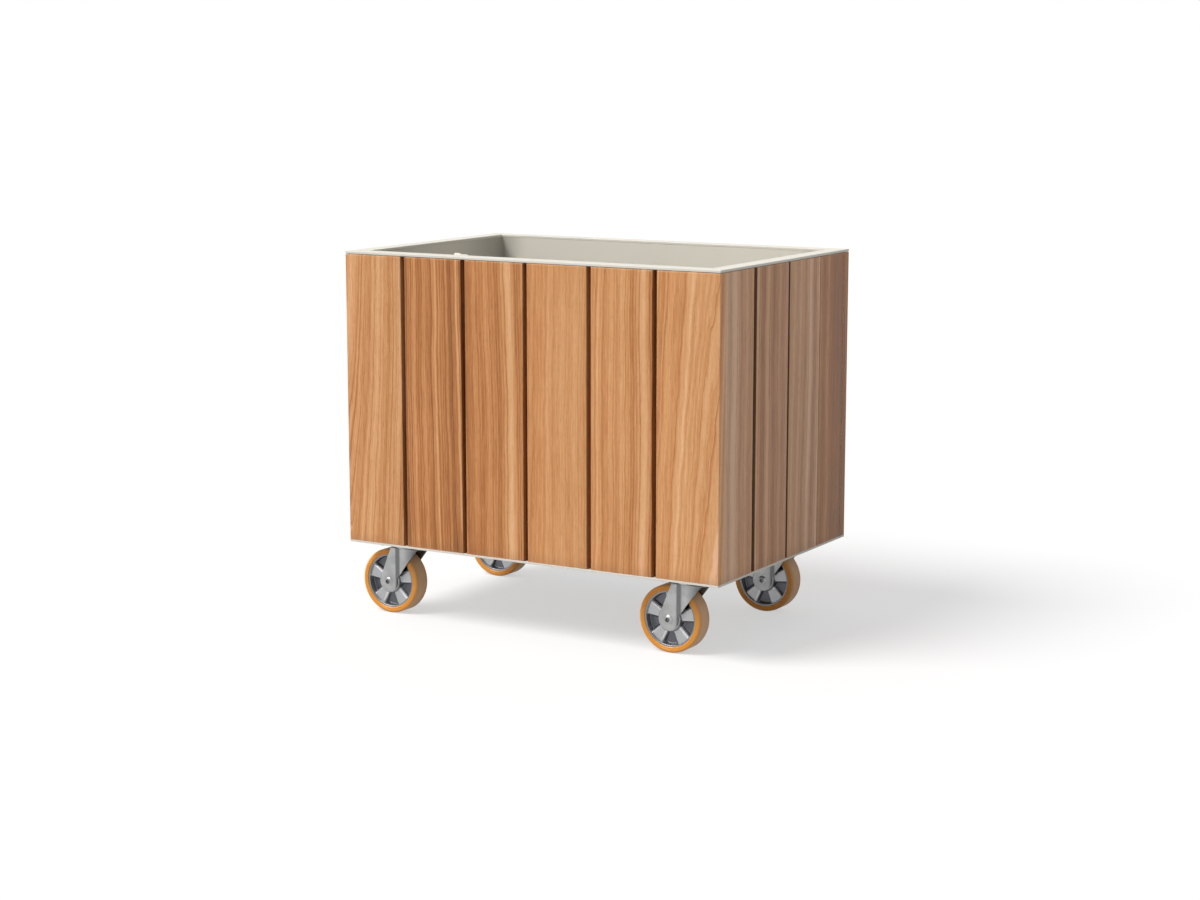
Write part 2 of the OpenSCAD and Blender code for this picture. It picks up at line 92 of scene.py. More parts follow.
# %% Words for a graph
class Graph:
    """A tree of nodes, and short words for building it."""

    def __init__(self, tree):
        self.tree = tree

    def node(self, kind, inputs, out=0, **settings):
        node = self.tree.nodes.new("ShaderNode" + kind)
        for name, value in settings.items():
            setattr(node, name, value)
        for key, value in inputs.items():
            self.join(node.inputs[key], value)
        return node.outputs[out]

    def join(self, socket, value):
        """Plugs an output into a socket, or sets the socket to a number, a vector or a colour."""
        if isinstance(value, bpy.types.NodeSocket):
            self.tree.links.new(value, socket)
        elif socket.type == "RGBA":
            socket.default_value = (*value, 1)
        else:
            socket.default_value = value

    def maths(self, operation, *values):
        return self.node("Math", dict(enumerate(values)), operation=operation)

    def vector_maths(self, operation, *values):
        return self.node("VectorMath", dict(enumerate(values)), operation=operation)

    def split(self, vector):
        return tuple(self.node("SeparateXYZ", {"Vector": vector}).node.outputs)

    def length(self, x, y):
        """How far a place is from the origin."""
        return self.maths("SQRT", self.maths("MULTIPLY_ADD", x, x, self.maths("MULTIPLY", y, y)))


print("graphs are made with the class", Graph.__name__)


# %% Words for a surface
class Finish(Graph):
    """A material, and short words for its patterns and colours."""

    def __init__(self, name, **fixed):
        self.material = bpy.data.materials.new(name)
        self.material.use_nodes = True
        super().__init__(self.material.node_tree)
        self.give(**fixed)

    def give(self, **inputs):
        for socket, value in inputs.items():
            self.join(self.tree.nodes["Principled BSDF"].inputs[socket.replace("_", " ")], value)

    def done(self, colour, rough, relief, strength, depth):
        """Gives the shader its colour, roughness and relief, and returns the material."""
        bump = self.node("Bump", {"Height": relief, "Strength": strength, "Distance": depth})
        self.give(Base_Color=colour, Roughness=rough, Normal=bump)
        return self.material

    def place(self):
        return self.node("TexCoord", {}, "Object")

    def own(self, name, out="Vector"):
        return self.node("Attribute", {}, out, attribute_name=name)

    def noise(self, vector, scale, detail=2.0, roughness=0.5):
        inputs = {"Vector": vector, "Scale": scale, "Detail": detail, "Roughness": roughness}
        return self.node("TexNoise", inputs, "Fac")

    def fibres(self, vector, across, along, detail=2.0, roughness=0.5):
        """Noise that is stretched along Z."""
        stretched = self.vector_maths("MULTIPLY", vector, (across, across, along))
        return self.noise(stretched, 1.0, detail, roughness)

    def bands(self, value, scale, detail=2.0, roughness=0.5):
        inputs = {"W": value, "Scale": scale, "Detail": detail, "Roughness": roughness}
        return self.node("TexNoise", inputs, "Fac", noise_dimensions="1D")

    def remap(self, value, low, high, to_low=0.0, to_high=1.0):
        inputs = {"Value": value, 1: low, 2: high, 3: to_low, 4: to_high}
        return self.node("MapRange", inputs, interpolation_type="SMOOTHSTEP")

    def stir(self, total, noise, strength):
        """Adds a noise to a total. The noise's middle, 0.5, changes nothing."""
        return self.maths("MULTIPLY_ADD", self.maths("SUBTRACT", noise, 0.5), strength, total)

    def blend(self, amount, first, second, way="MIX"):
        inputs = {0: amount, 6: first, 7: second}
        return self.node("Mix", inputs, 2, data_type="RGBA", blend_type=way)

    def stain(self, colour, mask, strength, stain):
        """Covers a colour with another where the mask is above 0, and never more than by the strength."""
        return self.blend(self.maths("MULTIPLY", mask, strength), colour, stain)

    def ramp(self, value, *stops):
        colours = self.node("ValToRGB", {"Fac": value}).node
        while len(colours.color_ramp.elements) < len(stops):
            colours.color_ramp.elements.new(0.5)
        for element, (position, colour) in zip(colours.color_ramp.elements, stops):
            element.position = position
            element.color = (*colour, 1)
        return colours.outputs[0]


print("finishes are made with the class", Finish.__name__)

# %% [markdown]
# ## Light, floor and background
# One soft sun stands high at the front left and a plain sky fills the shade, a little weaker from the
# right, so the right end falls into shadow as it does in the photo. The floor and the sky answer two
# questions with two colours: what the camera and shiny metal see is white, and what lights the object is a
# quieter grey.

# %% Light
SUN_FROM = Vector((-0.30, -0.40, 0.62))
SUN_STRENGTH = 2.9
SUN_SOFTNESS = 30
SUN_COLOUR = (1.0, 0.995, 0.985)
SKY_COLOUR = (0.985, 0.995, 1.0)
SKY_LIGHT = 0.42
SKY_LEANING = 0.32

sun_data = bpy.data.lights.new("window_light", "SUN")
sun_data.energy = SUN_STRENGTH
sun_data.angle = radians(SUN_SOFTNESS)
sun_data.color = SUN_COLOUR
sun = add_object("window_light", sun_data)
sun.rotation_euler = SUN_FROM.to_track_quat("Z", "Y").to_euler()


def show_and_light(graph, shown, lighting):
    """Mixes two shaders: camera, glossy and transmission rays meet the first, and all others the second."""
    rays = graph.node("LightPath", {}).node.outputs
    seen = rays["Is Camera Ray"]
    for name in ("Is Glossy Ray", "Is Transmission Ray"):
        seen = graph.maths("MAXIMUM", seen, rays[name])
    return graph.node("MixShader", {0: seen, 1: lighting, 2: shown})


world = bpy.data.worlds.new("studio")
world.use_nodes = True
bpy.context.scene.world = world
sky = Graph(world.node_tree)
sky_light = world.node_tree.nodes["Background"]
rightward = sky.split(sky.node("TexCoord", {}, "Generated"))[0]
sky.join(sky_light.inputs["Color"], SKY_COLOUR)
fading = sky.maths("MULTIPLY_ADD", rightward, -SKY_LEANING * SKY_LIGHT, SKY_LIGHT)
sky.join(sky_light.inputs["Strength"], fading)
white = sky.node("Background", {"Color": (1, 1, 1), "Strength": 1.0})
sky_output = world.node_tree.nodes["World Output"]
sky.join(sky_output.inputs["Surface"], show_and_light(sky, white, sky_light.outputs[0]))
print("sun strength", SUN_STRENGTH, "and sky", SKY_LIGHT)

# %% Floor
FLOOR_SIZE = 120
FLOOR_SEEN = 0.43
FLOOR_GLOW = 0.53
FLOOR_BOUNCE = 0.46

bpy.ops.object.select_all(action="DESELECT")
bpy.ops.mesh.primitive_plane_add(size=FLOOR_SIZE)
floor = bpy.context.object
floor.name = "studio_floor"
floor_paint = bpy.data.materials.new("studio_floor")
floor_paint.use_nodes = True
paint = Graph(floor_paint.node_tree)
paint.tree.nodes.remove(paint.tree.nodes["Principled BSDF"])
bounce = paint.node("BsdfDiffuse", {"Color": [FLOOR_BOUNCE] * 3})
lit = paint.node("BsdfDiffuse", {"Color": [FLOOR_SEEN] * 3})
glow = paint.node("Emission", {"Strength": FLOOR_GLOW})
shown = paint.node("AddShader", {0: lit, 1: glow})
paint.join(paint.tree.nodes["Material Output"].inputs["Surface"], show_and_light(paint, shown, bounce))
floor.data.materials.append(floor_paint)
print("floor is", FLOOR_SIZE, "m wide")

# %% [markdown]
# ## The wood
# A board is sawn from a trunk, and its figure is where the saw cut through the growth rings. So the
# material holds the rings themselves: each board carries the place of its trunk's heart, and the colour
# comes from the distance to it. A heart far to the side gives straight streaks, and one behind the board
# gives arches. Fibres and pores are noise stretched along the board.
# Each board mesh carries attributes: `own_place` (across, depth and height on the board in metres), `heart`
# (across, depth and lean of the trunk's heart), `tone` (lightness, greyness and streakiness, which may
# change from one side of the board to the other), `edge` where hands wear it and `groove`, which puts
# painted shade on the sides that face another board.

# %% Wood finish
SWAY = 0.030
SHIVER = 0.0070


def make_wood():
    wood = Finish("board_wood", IOR=1.5)
    here = wood.own("own_place")
    across, depth, height = wood.split(here)
    heart_across, heart_depth, lean = wood.split(wood.own("heart"))
    light, grey, streaky = wood.split(wood.own("tone"))
    seed = wood.vector_maths("MULTIPLY", wood.own("heart"), (37.0, 53.0, 71.0))
    seeded = wood.vector_maths("ADD", here, seed)

    # The trunk was not quite straight
    sway = wood.maths("MULTIPLY_ADD", wood.fibres(seeded, 4.0, 1.7, 1.0), SWAY, -SWAY / 2)
    shiver = wood.maths("MULTIPLY_ADD", wood.fibres(seeded, 48.0, 11.0, 3.0), SHIVER, -SHIVER / 2)
    side = wood.maths("ADD", wood.maths("SUBTRACT", across, heart_across), sway)
    deep = wood.maths("MULTIPLY_ADD", height, lean, wood.maths("SUBTRACT", depth, heart_depth))
    distance = wood.maths("ADD", wood.length(side, deep), shiver)

    broad = wood.bands(distance, 38.0)
    rings = wood.bands(distance, 210.0, 3.0, 0.65)
    lines = wood.bands(distance, 760.0, 2.0, 0.6)
    fibre = wood.fibres(seeded, 800.0, 30.0, 3.0, 0.65)
    dash = wood.fibres(seeded, 260.0, 11.0, 3.0, 0.6)
    cloud = wood.fibres(seeded, 13.0, 2.2)
    pore = wood.remap(wood.fibres(seeded, 1500.0, 60.0, 1.0), 0.62, 0.72)
    vein = wood.maths("MULTIPLY", wood.remap(rings, 0.30, 0.42, 1.0, 0.0), wood.remap(dash, 0.35, 0.6))

    streak = wood.stir(wood.stir(0.0, broad, 0.85), rings, 0.48)
    streak = wood.maths("MULTIPLY", wood.maths("MULTIPLY_ADD", vein, -0.17, streak), streaky)
    for noise, strength in ((lines, 0.14), (fibre, 0.46), (dash, 0.46), (cloud, 0.30)):
        streak = wood.stir(streak, noise, strength)
    colour = wood.ramp(
        wood.maths("ADD", wood.maths("ADD", streak, 0.56), light),
        (0.0, (0.195, 0.072, 0.018)),
        (0.30, (0.425, 0.149, 0.034)),
        (0.56, (0.622, 0.278, 0.099)),
        (0.80, (0.765, 0.404, 0.185)),
        (1.0, (0.860, 0.510, 0.285)),
    )
    colour = wood.stain(colour, pore, 0.34, (0.20, 0.070, 0.025))
    weathered = wood.blend(0.86, colour, wood.node("RGBToBW", {"Color": colour}))
    weathered = wood.blend(1.0, weathered, (1.25, 1.0, 0.83), "MULTIPLY")
    colour = wood.blend(grey, colour, weathered)

    # Worn arrises are paler, the foot is darker, and the sides facing another board get painted shade
    wear = wood.remap(wood.noise(seeded, 160.0), 0.35, 0.7, 0.1, 0.5)
    colour = wood.stain(colour, wood.own("edge", "Fac"), wear, (0.80, 0.52, 0.31))
    colour = wood.blend(wood.remap(height, 0.0, 0.03, 0.22, 0.0), colour, (0.26, 0.10, 0.04))
    colour = wood.stain(colour, wood.own("groove", "Fac"), 0.80, (0.088, 0.041, 0.023))

    rough = wood.maths("MULTIPLY_ADD", pore, 0.15, wood.maths("MULTIPLY_ADD", fibre, 0.22, 0.40))
    relief = wood.maths("MULTIPLY_ADD", lines, 0.5, wood.maths("MULTIPLY", fibre, 0.8))
    relief = wood.maths("MULTIPLY_ADD", pore, -0.9, relief)
    return wood.done(colour, rough, relief, 0.45, 0.0004)


board_wood = make_wood()
print(board_wood.name, "has", len(board_wood.node_tree.nodes), "nodes")

# %% [markdown]
# ## Powder coat
# Powder is sprayed on dry and baked, which leaves a satin skin with a very fine orange peel. Three noises
# make it: one for the peel, a finer one for flecks, and a large one that lets the cream drift a little, as a
# real coat does. The coat is thinner and a shade paler along edges. The corners of the open tub get painted
# shade, and the tub's walls carry the attribute `corner` for it: the shares of the way to the corner,
# across and in depth.

# %% Powder coat finish
# Where the painted shade in the tub's corners begins, and its strongest share
CORNER_SHADE_FROM = 0.846
CORNER_SHADE_MOST = 0.48


def make_powder_coat():
    coat = Finish("cream_powder_coat", IOR=1.5)
    here = coat.place()
    peel = coat.noise(here, 900.0, 2.0, 0.6)
    fleck = coat.noise(here, 3200.0, 1.0)
    drift = coat.noise(here, 5.0, 3.0)
    colour = coat.blend(drift, (0.714, 0.677, 0.598), (0.779, 0.744, 0.666))
    colour = coat.stain(colour, fleck, 0.16, (0.53, 0.505, 0.44))
    colour = coat.stain(colour, coat.own("edge", "Fac"), 0.30, (0.83, 0.805, 0.745))
    # The tub's corners get painted shade: `dust` below is how much of it a point gets
    across, depth, _ = coat.split(coat.own("corner"))
    near = coat.maths("ADD", coat.maths("ABSOLUTE", across), coat.maths("ABSOLUTE", depth))
    dust = coat.remap(near, CORNER_SHADE_FROM, 1.0, 0.0, CORNER_SHADE_MOST)
    colour = coat.stain(colour, dust, coat.remap(drift, 0.3, 0.7, 0.9, 1.0), (0.10, 0.095, 0.082))
    return coat.done(colour, coat.maths("MULTIPLY_ADD", peel, 0.16, 0.40), peel, 0.22, 0.0003)


cream_powder_coat = make_powder_coat()
print(cream_powder_coat.name, "has", len(cream_powder_coat.node_tree.nodes), "nodes")

# %% [markdown]
# ## Bare metals
# All of them are fully metallic, and what tells them apart is how rough they are and at what scale. Zinc
# plate is satin with faint rolling lines and a cloudy bloom, galvanised sheet shows crystals, a casting is
# grainy where the mould touched it and finely turned where it was machined, and hardened steel is plain.


# %% Zinc plate
def make_zinc(name, tint, low, high):
    """Zinc plate between two colours and two roughnesses, darkened by painted shade where a piece asks for
    it.
    """
    zinc = Finish(name, Metallic=1.0)
    here = zinc.place()
    bloom = zinc.noise(here, 34.0, 4.0, 0.6)
    rolled = zinc.fibres(here, 900.0, 40.0)
    grain = zinc.noise(here, 1500.0)
    colour = zinc.blend(zinc.remap(bloom, 0.3, 0.7), [0.80 * c for c in tint], tint)
    colour = zinc.stain(colour, zinc.own("edge", "Fac"), 0.45, (0.72, 0.73, 0.73))
    # Painted shade darkens the zinc where a piece's attribute asks for it
    shade_amount = zinc.remap(bloom, 0.2, 0.6, 0.75, 0.95)
    colour = zinc.stain(colour, zinc.own("pressed", "Fac"), shade_amount, (0.112, 0.116, 0.118))
    rough = zinc.maths("MULTIPLY_ADD", grain, 0.10, zinc.remap(bloom, 0.3, 0.7, high, low))
    relief = zinc.maths("MULTIPLY_ADD", rolled, 0.6, zinc.maths("MULTIPLY", grain, 0.5))
    return zinc.done(colour, rough, relief, 0.12, 0.0002)


zinc_plated_steel = make_zinc("zinc_plated_steel", (0.455, 0.468, 0.465), 0.26, 0.38)
stainless_screws = make_zinc("stainless_screws", (0.58, 0.58, 0.57), 0.22, 0.34)
bearing_steel = make_zinc("bearing_steel", (0.42, 0.43, 0.44), 0.24, 0.38)
print("zinc, stainless and bearing steel share one recipe")


# %% Galvanised sheet
def make_galvanised():
    sheet = Finish("galvanised_steel", Metallic=1.0)
    here = sheet.place()
    patch = sheet.split(sheet.node("TexVoronoi", {"Vector": here, "Scale": 110.0}, "Color"))[0]
    colour = sheet.blend(patch, (0.40, 0.41, 0.42), (0.56, 0.57, 0.58))
    rough = sheet.maths("MULTIPLY_ADD", patch, 0.14, 0.34)
    return sheet.done(colour, rough, sheet.noise(here, 400.0, 3.0), 0.15, 0.0002)


galvanised_steel = make_galvanised()
print(galvanised_steel.name, "shows crystals about 9 mm across")

# %% Cast aluminium
# Limits of the painted shade in the pockets, on the hub's outer edge and on the ring's face
POCKET_SHADED, POCKET_UNSHADED = 7.2 * MM, 12 * MM
HUB_UNSHADED, HUB_SHADED, HUB_END = 24 * MM, 28 * MM, 33 * MM
RING_UNSHADED, RING_SHADED = 61.5 * MM, 62.5 * MM
SHADE_ON_RING_AND_HUB = 0.62


def make_cast_aluminium():
    cast = Finish("cast_aluminium", Metallic=1.0)
    here = cast.own("own_place")
    x, axial, z = cast.split(here)
    radius = cast.length(x, z)
    turned = cast.own("turned", "Fac")
    skin = cast.noise(here, 700.0, 3.0, 0.65)
    sand = cast.noise(here, 2600.0)
    bloom = cast.noise(here, 60.0, 3.0)
    marks = cast.bands(radius, 2200.0)
    raw = cast.blend(bloom, (0.38, 0.39, 0.40), (0.50, 0.51, 0.52))
    # Painted shade darkens the pockets, the hub's outer edge and the ring's face
    pocket = cast.remap(cast.maths("ABSOLUTE", axial), POCKET_SHADED, POCKET_UNSHADED, 1.0, 0.0)
    hub_shade = cast.remap(radius, HUB_UNSHADED, HUB_SHADED, 0.0, SHADE_ON_RING_AND_HUB)
    hub_shade = cast.maths("MULTIPLY", hub_shade, cast.remap(radius, HUB_SHADED, HUB_END, 1.0, 0.0))
    ring = cast.remap(radius, RING_UNSHADED, RING_SHADED, 0.0, SHADE_ON_RING_AND_HUB)
    cast_shade = cast.maths("MAXIMUM", cast.maths("MAXIMUM", pocket, hub_shade), ring)
    raw = cast.stain(raw, cast_shade, 0.86, (0.080, 0.085, 0.098))
    # Pale spoke chamfers, marked `edge`: partly wear, partly a painted highlight
    raw = cast.stain(raw, cast.own("edge", "Fac"), 0.75, (0.80, 0.81, 0.82))
    colour = cast.blend(turned, raw, (0.56, 0.57, 0.58))
    rough_cast = cast.maths("MULTIPLY_ADD", skin, 0.22, 0.30)
    rough_turned = cast.maths("MULTIPLY_ADD", marks, 0.20, 0.18)
    rough = cast.node("Mix", {0: turned, 2: rough_cast, 3: rough_turned})
    grain = cast.maths("MULTIPLY_ADD", sand, 0.4, skin)
    relief = cast.node("Mix", {0: turned, 2: grain, 3: cast.maths("MULTIPLY", marks, 0.5)})
    return cast.done(colour, rough, relief, 0.16, 0.0004)


cast_aluminium = make_cast_aluminium()
print(cast_aluminium.name, "has", len(cast_aluminium.node_tree.nodes), "nodes")

# %% [markdown]
# ## The tyres' polyurethane
# Polyurethane is poured round the core and turned to size. Its sides keep a clear, waxy orange, while the
# tread picks up dust and goes matt and brown. The dust follows the distance from the axle, so the mesh
# carries its own place from the wheel's middle.

# %% Polyurethane finish
DUSTY_FROM, DUSTY_TO = 74 * MM, 79.6 * MM
ROLLED_TO, TREAD_END = 8 * MM, 23 * MM


def make_polyurethane():
    tyre = Finish("orange_polyurethane", IOR=1.45, Coat_Weight=0.08, Coat_Roughness=0.3)
    here = tyre.own("own_place")
    x, axial, z = tyre.split(here)
    radius = tyre.length(x, z)
    tread = tyre.remap(radius, DUSTY_FROM, DUSTY_TO)
    rolled = tyre.remap(tyre.maths("ABSOLUTE", axial), ROLLED_TO, TREAD_END, 1.0, 0.45)
    blotch = tyre.noise(here, 55.0, 4.0, 0.6)
    grit = tyre.noise(here, 1400.0, 3.0, 0.7)
    marks = tyre.bands(tyre.maths("ADD", radius, tyre.maths("MULTIPLY", axial, 1.7)), 900.0)
    clean = tyre.blend(blotch, (0.77, 0.285, 0.022), (0.85, 0.345, 0.038))
    dust = tyre.blend(blotch, (0.66, 0.405, 0.225), (0.86, 0.580, 0.365))
    dusty = tyre.maths("MULTIPLY", tread, tyre.remap(grit, 0.25, 0.65, 0.70, 1.0))
    colour = tyre.stain(clean, dusty, rolled, dust)
    rough = tyre.maths("MULTIPLY_ADD", tread, 0.28, tyre.maths("MULTIPLY_ADD", grit, 0.12, 0.26))
    relief = tyre.maths("MULTIPLY_ADD", marks, 0.6, tyre.maths("MULTIPLY", grit, tread))
    return tyre.done(colour, rough, relief, 0.25, 0.0003)


orange_polyurethane = make_polyurethane()
FINISHES = {
    "board_wood": board_wood,
    "cream_powder_coat": cream_powder_coat,
    "galvanised_steel": galvanised_steel,
    "stainless_screws": stainless_screws,
    "zinc_plated_steel": zinc_plated_steel,
    "bearing_steel": bearing_steel,
    "cast_aluminium": cast_aluminium,
    "orange_polyurethane": orange_polyurethane,
}
print(len(FINISHES), "finishes:", ", ".join(FINISHES))

# %% [markdown]
# ## Words for modelling
# The next helpers do what a hand does over and over. The first ones choose objects and add a primitive at its
# size and place. An object keeps its own place, turn and scale beside its mesh, and they are applied to the
# mesh at once, so that the mesh itself holds real sizes.


# %% Choose and start
def choose(*things):
    """Selects these objects and nothing else, and makes the first one active."""
    bpy.ops.object.select_all(action="DESELECT")
    for thing in things:
        thing.select_set(True)
    bpy.context.view_layer.objects.active = things[0]


def rename(thing, name):
    thing.name = thing.data.name = name
    return thing


def start(name, primitive, **size):
    """Adds a primitive and freezes its place into its mesh."""
    bpy.ops.object.select_all(action="DESELECT")
    primitive(**size)
    bpy.ops.object.transform_apply(location=True, rotation=True, scale=True)
    return rename(bpy.context.object, name)


def block(name, low, high):
    low, high = Vector(low), Vector(high)
    return start(name, bpy.ops.mesh.primitive_cube_add, size=1, location=(low + high) / 2, scale=high - low)


print("a piece starts with", block.__name__, "or", start.__name__)

# %% [markdown]
# In edit mode an operator acts on what is selected. A hand would click on it, and here it is found by a
# test of its place, its direction or its angle. A rounded edge catches a line of light, as on the real piece,
# and the merged points leave no slit in a closed shape.


# %% Work in edit mode
def edit():
    bpy.ops.object.mode_set(mode="EDIT")
    bpy.ops.mesh.select_all(action="DESELECT")


def leave():
    bpy.ops.object.mode_set(mode="OBJECT")


def pick(kind, test):
    """Selects the verts, edges or faces that pass the test, and nothing else."""
    mesh = bpy.context.object.data
    bpy.ops.mesh.select_mode(type={"verts": "VERT", "edges": "EDGE", "faces": "FACE"}[kind])
    bpy.ops.mesh.select_all(action="DESELECT")
    live = bmesh.from_edit_mesh(mesh)
    for part in [part for part in getattr(live, kind) if test(part)]:
        part.select_set(True)
    live.select_flush_mode()
    bmesh.update_edit_mesh(mesh)


def middle(part):
    """The middle of an edge or a face."""
    return sum((v.co for v in part.verts), Vector()) / len(part.verts)


def runs_along(edge, axis):
    way = edge.verts[1].co - edge.verts[0].co
    return abs(way[axis]) > 0.99 * way.length


def is_sharp(edge, degrees=40):
    return len(edge.link_faces) == 2 and edge.calc_face_angle(0) > radians(degrees)


def round_edges(test, width, segments=2):
    """Bevels the edges that pass the test."""
    pick("edges", test)
    bpy.ops.mesh.bevel(offset=width, offset_type="OFFSET", segments=segments, profile=0.5, affect="EDGES",
                       clamp_overlap=True)


def border(thing, least_area, width):
    """Gives each broad face a narrow border, leaves edit mode and marks all outside the borders as edge."""
    pick("faces", lambda f: f.calc_area() > least_area)
    bpy.ops.mesh.inset(thickness=width)
    leave()
    calm = {i for f in thing.data.polygons if f.select for i in f.vertices}
    mask = thing.data.attributes.new("edge", "FLOAT", "POINT")
    for i, place in enumerate(mask.data):
        place.value = 0.0 if i in calm else 1.0


def weld_and_face_out():
    """Merges points that lie on each other and turns all faces outwards."""
    bpy.ops.mesh.select_all(action="SELECT")
    bpy.ops.mesh.remove_doubles(threshold=0.01 * MM)
    bpy.ops.mesh.normals_make_consistent(inside=False)


print("edges are rounded with", round_edges.__name__)

# %% [markdown]
# A mesh is finished in object mode. Modifiers are applied, faces are shaded smooth except over sharp edges,
# and attributes tell the materials where on the piece they are. Then the piece gets its material and the
# body that it moves with.


# %% Finish a piece
def smooth(thing, degrees=35):
    choose(thing)
    bpy.ops.object.shade_smooth_by_angle(angle=radians(degrees))


def add_modifier(thing, kind, **settings):
    """Adds a modifier with its settings and applies it."""
    choose(thing)
    modifier = thing.modifiers.new(kind.lower(), kind)
    for name, value in settings.items():
        setattr(modifier, name, value)
    bpy.ops.object.modifier_apply(modifier=modifier.name)


def note(thing, name, kind, value_at):
    """Writes an attribute on the points: value_at(point) is a number or a vector."""
    layer = thing.data.attributes.new(name, kind, "POINT")
    for place, vertex in zip(layer.data, thing.data.vertices):
        setattr(place, "value" if kind == "FLOAT" else "vector", value_at(vertex.co))


def finish(thing, slot, body, *nodes):
    """Gives the piece its material, its body and the solids that it stands for."""
    thing.data.materials.clear()
    thing.data.materials.append(FINISHES[slot])
    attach(thing, body)
    if nodes:
        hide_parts(*nodes)
    return thing


print("attributes are written with", note.__name__)

# %% [markdown]
# What repeats is modelled once, as a master, and copied with a mesh of its own. The last helper measures a
# piece, since a slit or a wrong unit is easier to read than to see.


# %% Copy, join and measure
def copy_of(master, name, matrix=Matrix.Identity(4)):
    mesh = master.data.copy()
    mesh.name = name
    mesh.transform(matrix)
    return add_object(name, mesh)


def move(thing, x=0, y=0, z=0):
    """Moves a mesh by millimetres."""
    thing.data.transform(Matrix.Translation((x * MM, y * MM, z * MM)))


def discard(*things):
    for thing in things:
        bpy.data.objects.remove(thing)


def join(name, things):
    choose(*things)
    bpy.ops.object.join()
    return rename(things[0], name)


def describe(thing):
    """Prints a piece's faces, its open edges, of which a closed shape has none, and its size."""
    live = bmesh.new()
    live.from_mesh(thing.data)
    gaps = sum(not edge.is_manifold for edge in live.edges)
    live.free()
    places = [vertex.co / MM for vertex in thing.data.vertices]
    size = [round(max(p[i] for p in places) - min(p[i] for p in places), 1) for i in range(3)]
    print(f"{thing.name}: {len(thing.data.polygons)} faces, {gaps} open edges, size in mm {size}")


print("pieces are measured with", describe.__name__)

# %% [markdown]
# ## Boards
# Every board is planed on four sides, and its outer arrises are eased with a sanding block. A cube of the
# board's size gets rounded arrises, and then each broad face gets a narrow border. The border keeps the
# flat face flat and holds the mask that tells the wood finish where hands and weather touch the edge.
# Boards of one width are the same piece, so each width is modelled once.

# %% One board of each width
ARRIS = 1.5 * MM
SMALL_EDGE = 0.5 * MM
WORN_BORDER = 3.5 * MM


def shape_board(width, thickness, height):
    """A board in its own frame: across along X, outer face at y = 0, standing on z = 0."""
    board = block("board_master", (-width / 2, 0, 0), (width / 2, thickness, height))
    edit()
    round_edges(lambda e: runs_along(e, 2) and middle(e).y < thickness / 2, ARRIS, 3)
    round_edges(is_sharp, SMALL_EDGE, 2)
    border(board, 0.5 * thickness ** 2, WORN_BORDER)
    note(board, "own_place", "FLOAT_VECTOR", lambda p: p)
    smooth(board)
    return board


low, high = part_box("front_board_2")
sample = shape_board(*(high - low))
describe(sample)
discard(sample)

# %% [markdown]
# ## Sorting the wood
# Wood is sorted before it goes on: the long boards run from straight-grained to one with a low arch, and
# the end boards are paler and greyer. The numbers are chosen board by board from the photo, and the hidden
# sides repeat them in another order. Painted shade on the sides that face another board starts right
# behind a board's arris, and there is less of it between the long boards.

# %% Sort the wood
# The heart's place across, its depth in metres and its lean, then lightness, greyness and streakiness, and
# last how much lighter the board grows from one side to the other
FIGURES = {
    "front": [
        (-0.100, 0.075, 0.100, 0.08, 0.0, 1.15, -0.05),
        (0.230, 0.120, 0.030, -0.17, 0.0, 1.60, -0.16),
        (-0.260, 0.150, -0.020, -0.08, 0.0, 1.05, 0.32),
        (-0.190, 0.160, 0.015, 0.03, 0.0, 0.70, 0.17),
        (-0.270, 0.100, 0.020, 0.03, 0.0, 1.05, 0.04),
        (0.130, 0.130, -0.050, 0.08, 0.0, 1.20, 0.16),
    ],
    "right": [
        (0.300, 0.140, 0.010, 0.19, 0.30, 1.25, -0.50),
        (0.280, 0.160, -0.010, -0.07, 0.28, 1.10, -0.12),
        (-0.300, 0.120, 0.015, 0.09, 0.34, 1.20, -0.10),
        (0.290, 0.130, -0.015, -0.25, 0.18, 0.50, -0.50),
    ],
}
# Only one side of the first back board is seen, and its dark tone there is painted shade
FIGURES["back"] = [(-0.260, 0.150, -0.020, -0.20, 0.0, 1.05, 0.42)]
FIGURES["back"] += [FIGURES["front"][i] for i in (0, 5, 2, 4, 1)]
FIGURES["left"] = [FIGURES["right"][i] for i in (2, 0, 3, 1)]
GREY_PER_LIGHT = 0.7


def tone_at(share, light, grey, streaky, drift):
    """Lightness, greyness and streakiness at a share of the width from the board's middle."""
    # A weathered board is greyer where it is paler
    return light + drift * share, grey + GREY_PER_LIGHT * drift * share if grey else 0, streaky


print({side: len(figures) for side, figures in FIGURES.items()})

# %% Place the boards
SIDES = {"front": 0, "right": 90, "back": 180, "left": 270}
TOUCH = 0.1 * MM
# Where the painted shade between the boards begins, and how strong it is between the long boards
SHADE_BEHIND_ARRIS = 0.9 * ARRIS
GAP_SHADE_ON_LONG_SIDES = 0.42
DEEPER_EACH_BOARD = 0.01
DEEPER_EACH_DEGREE = 0.0001


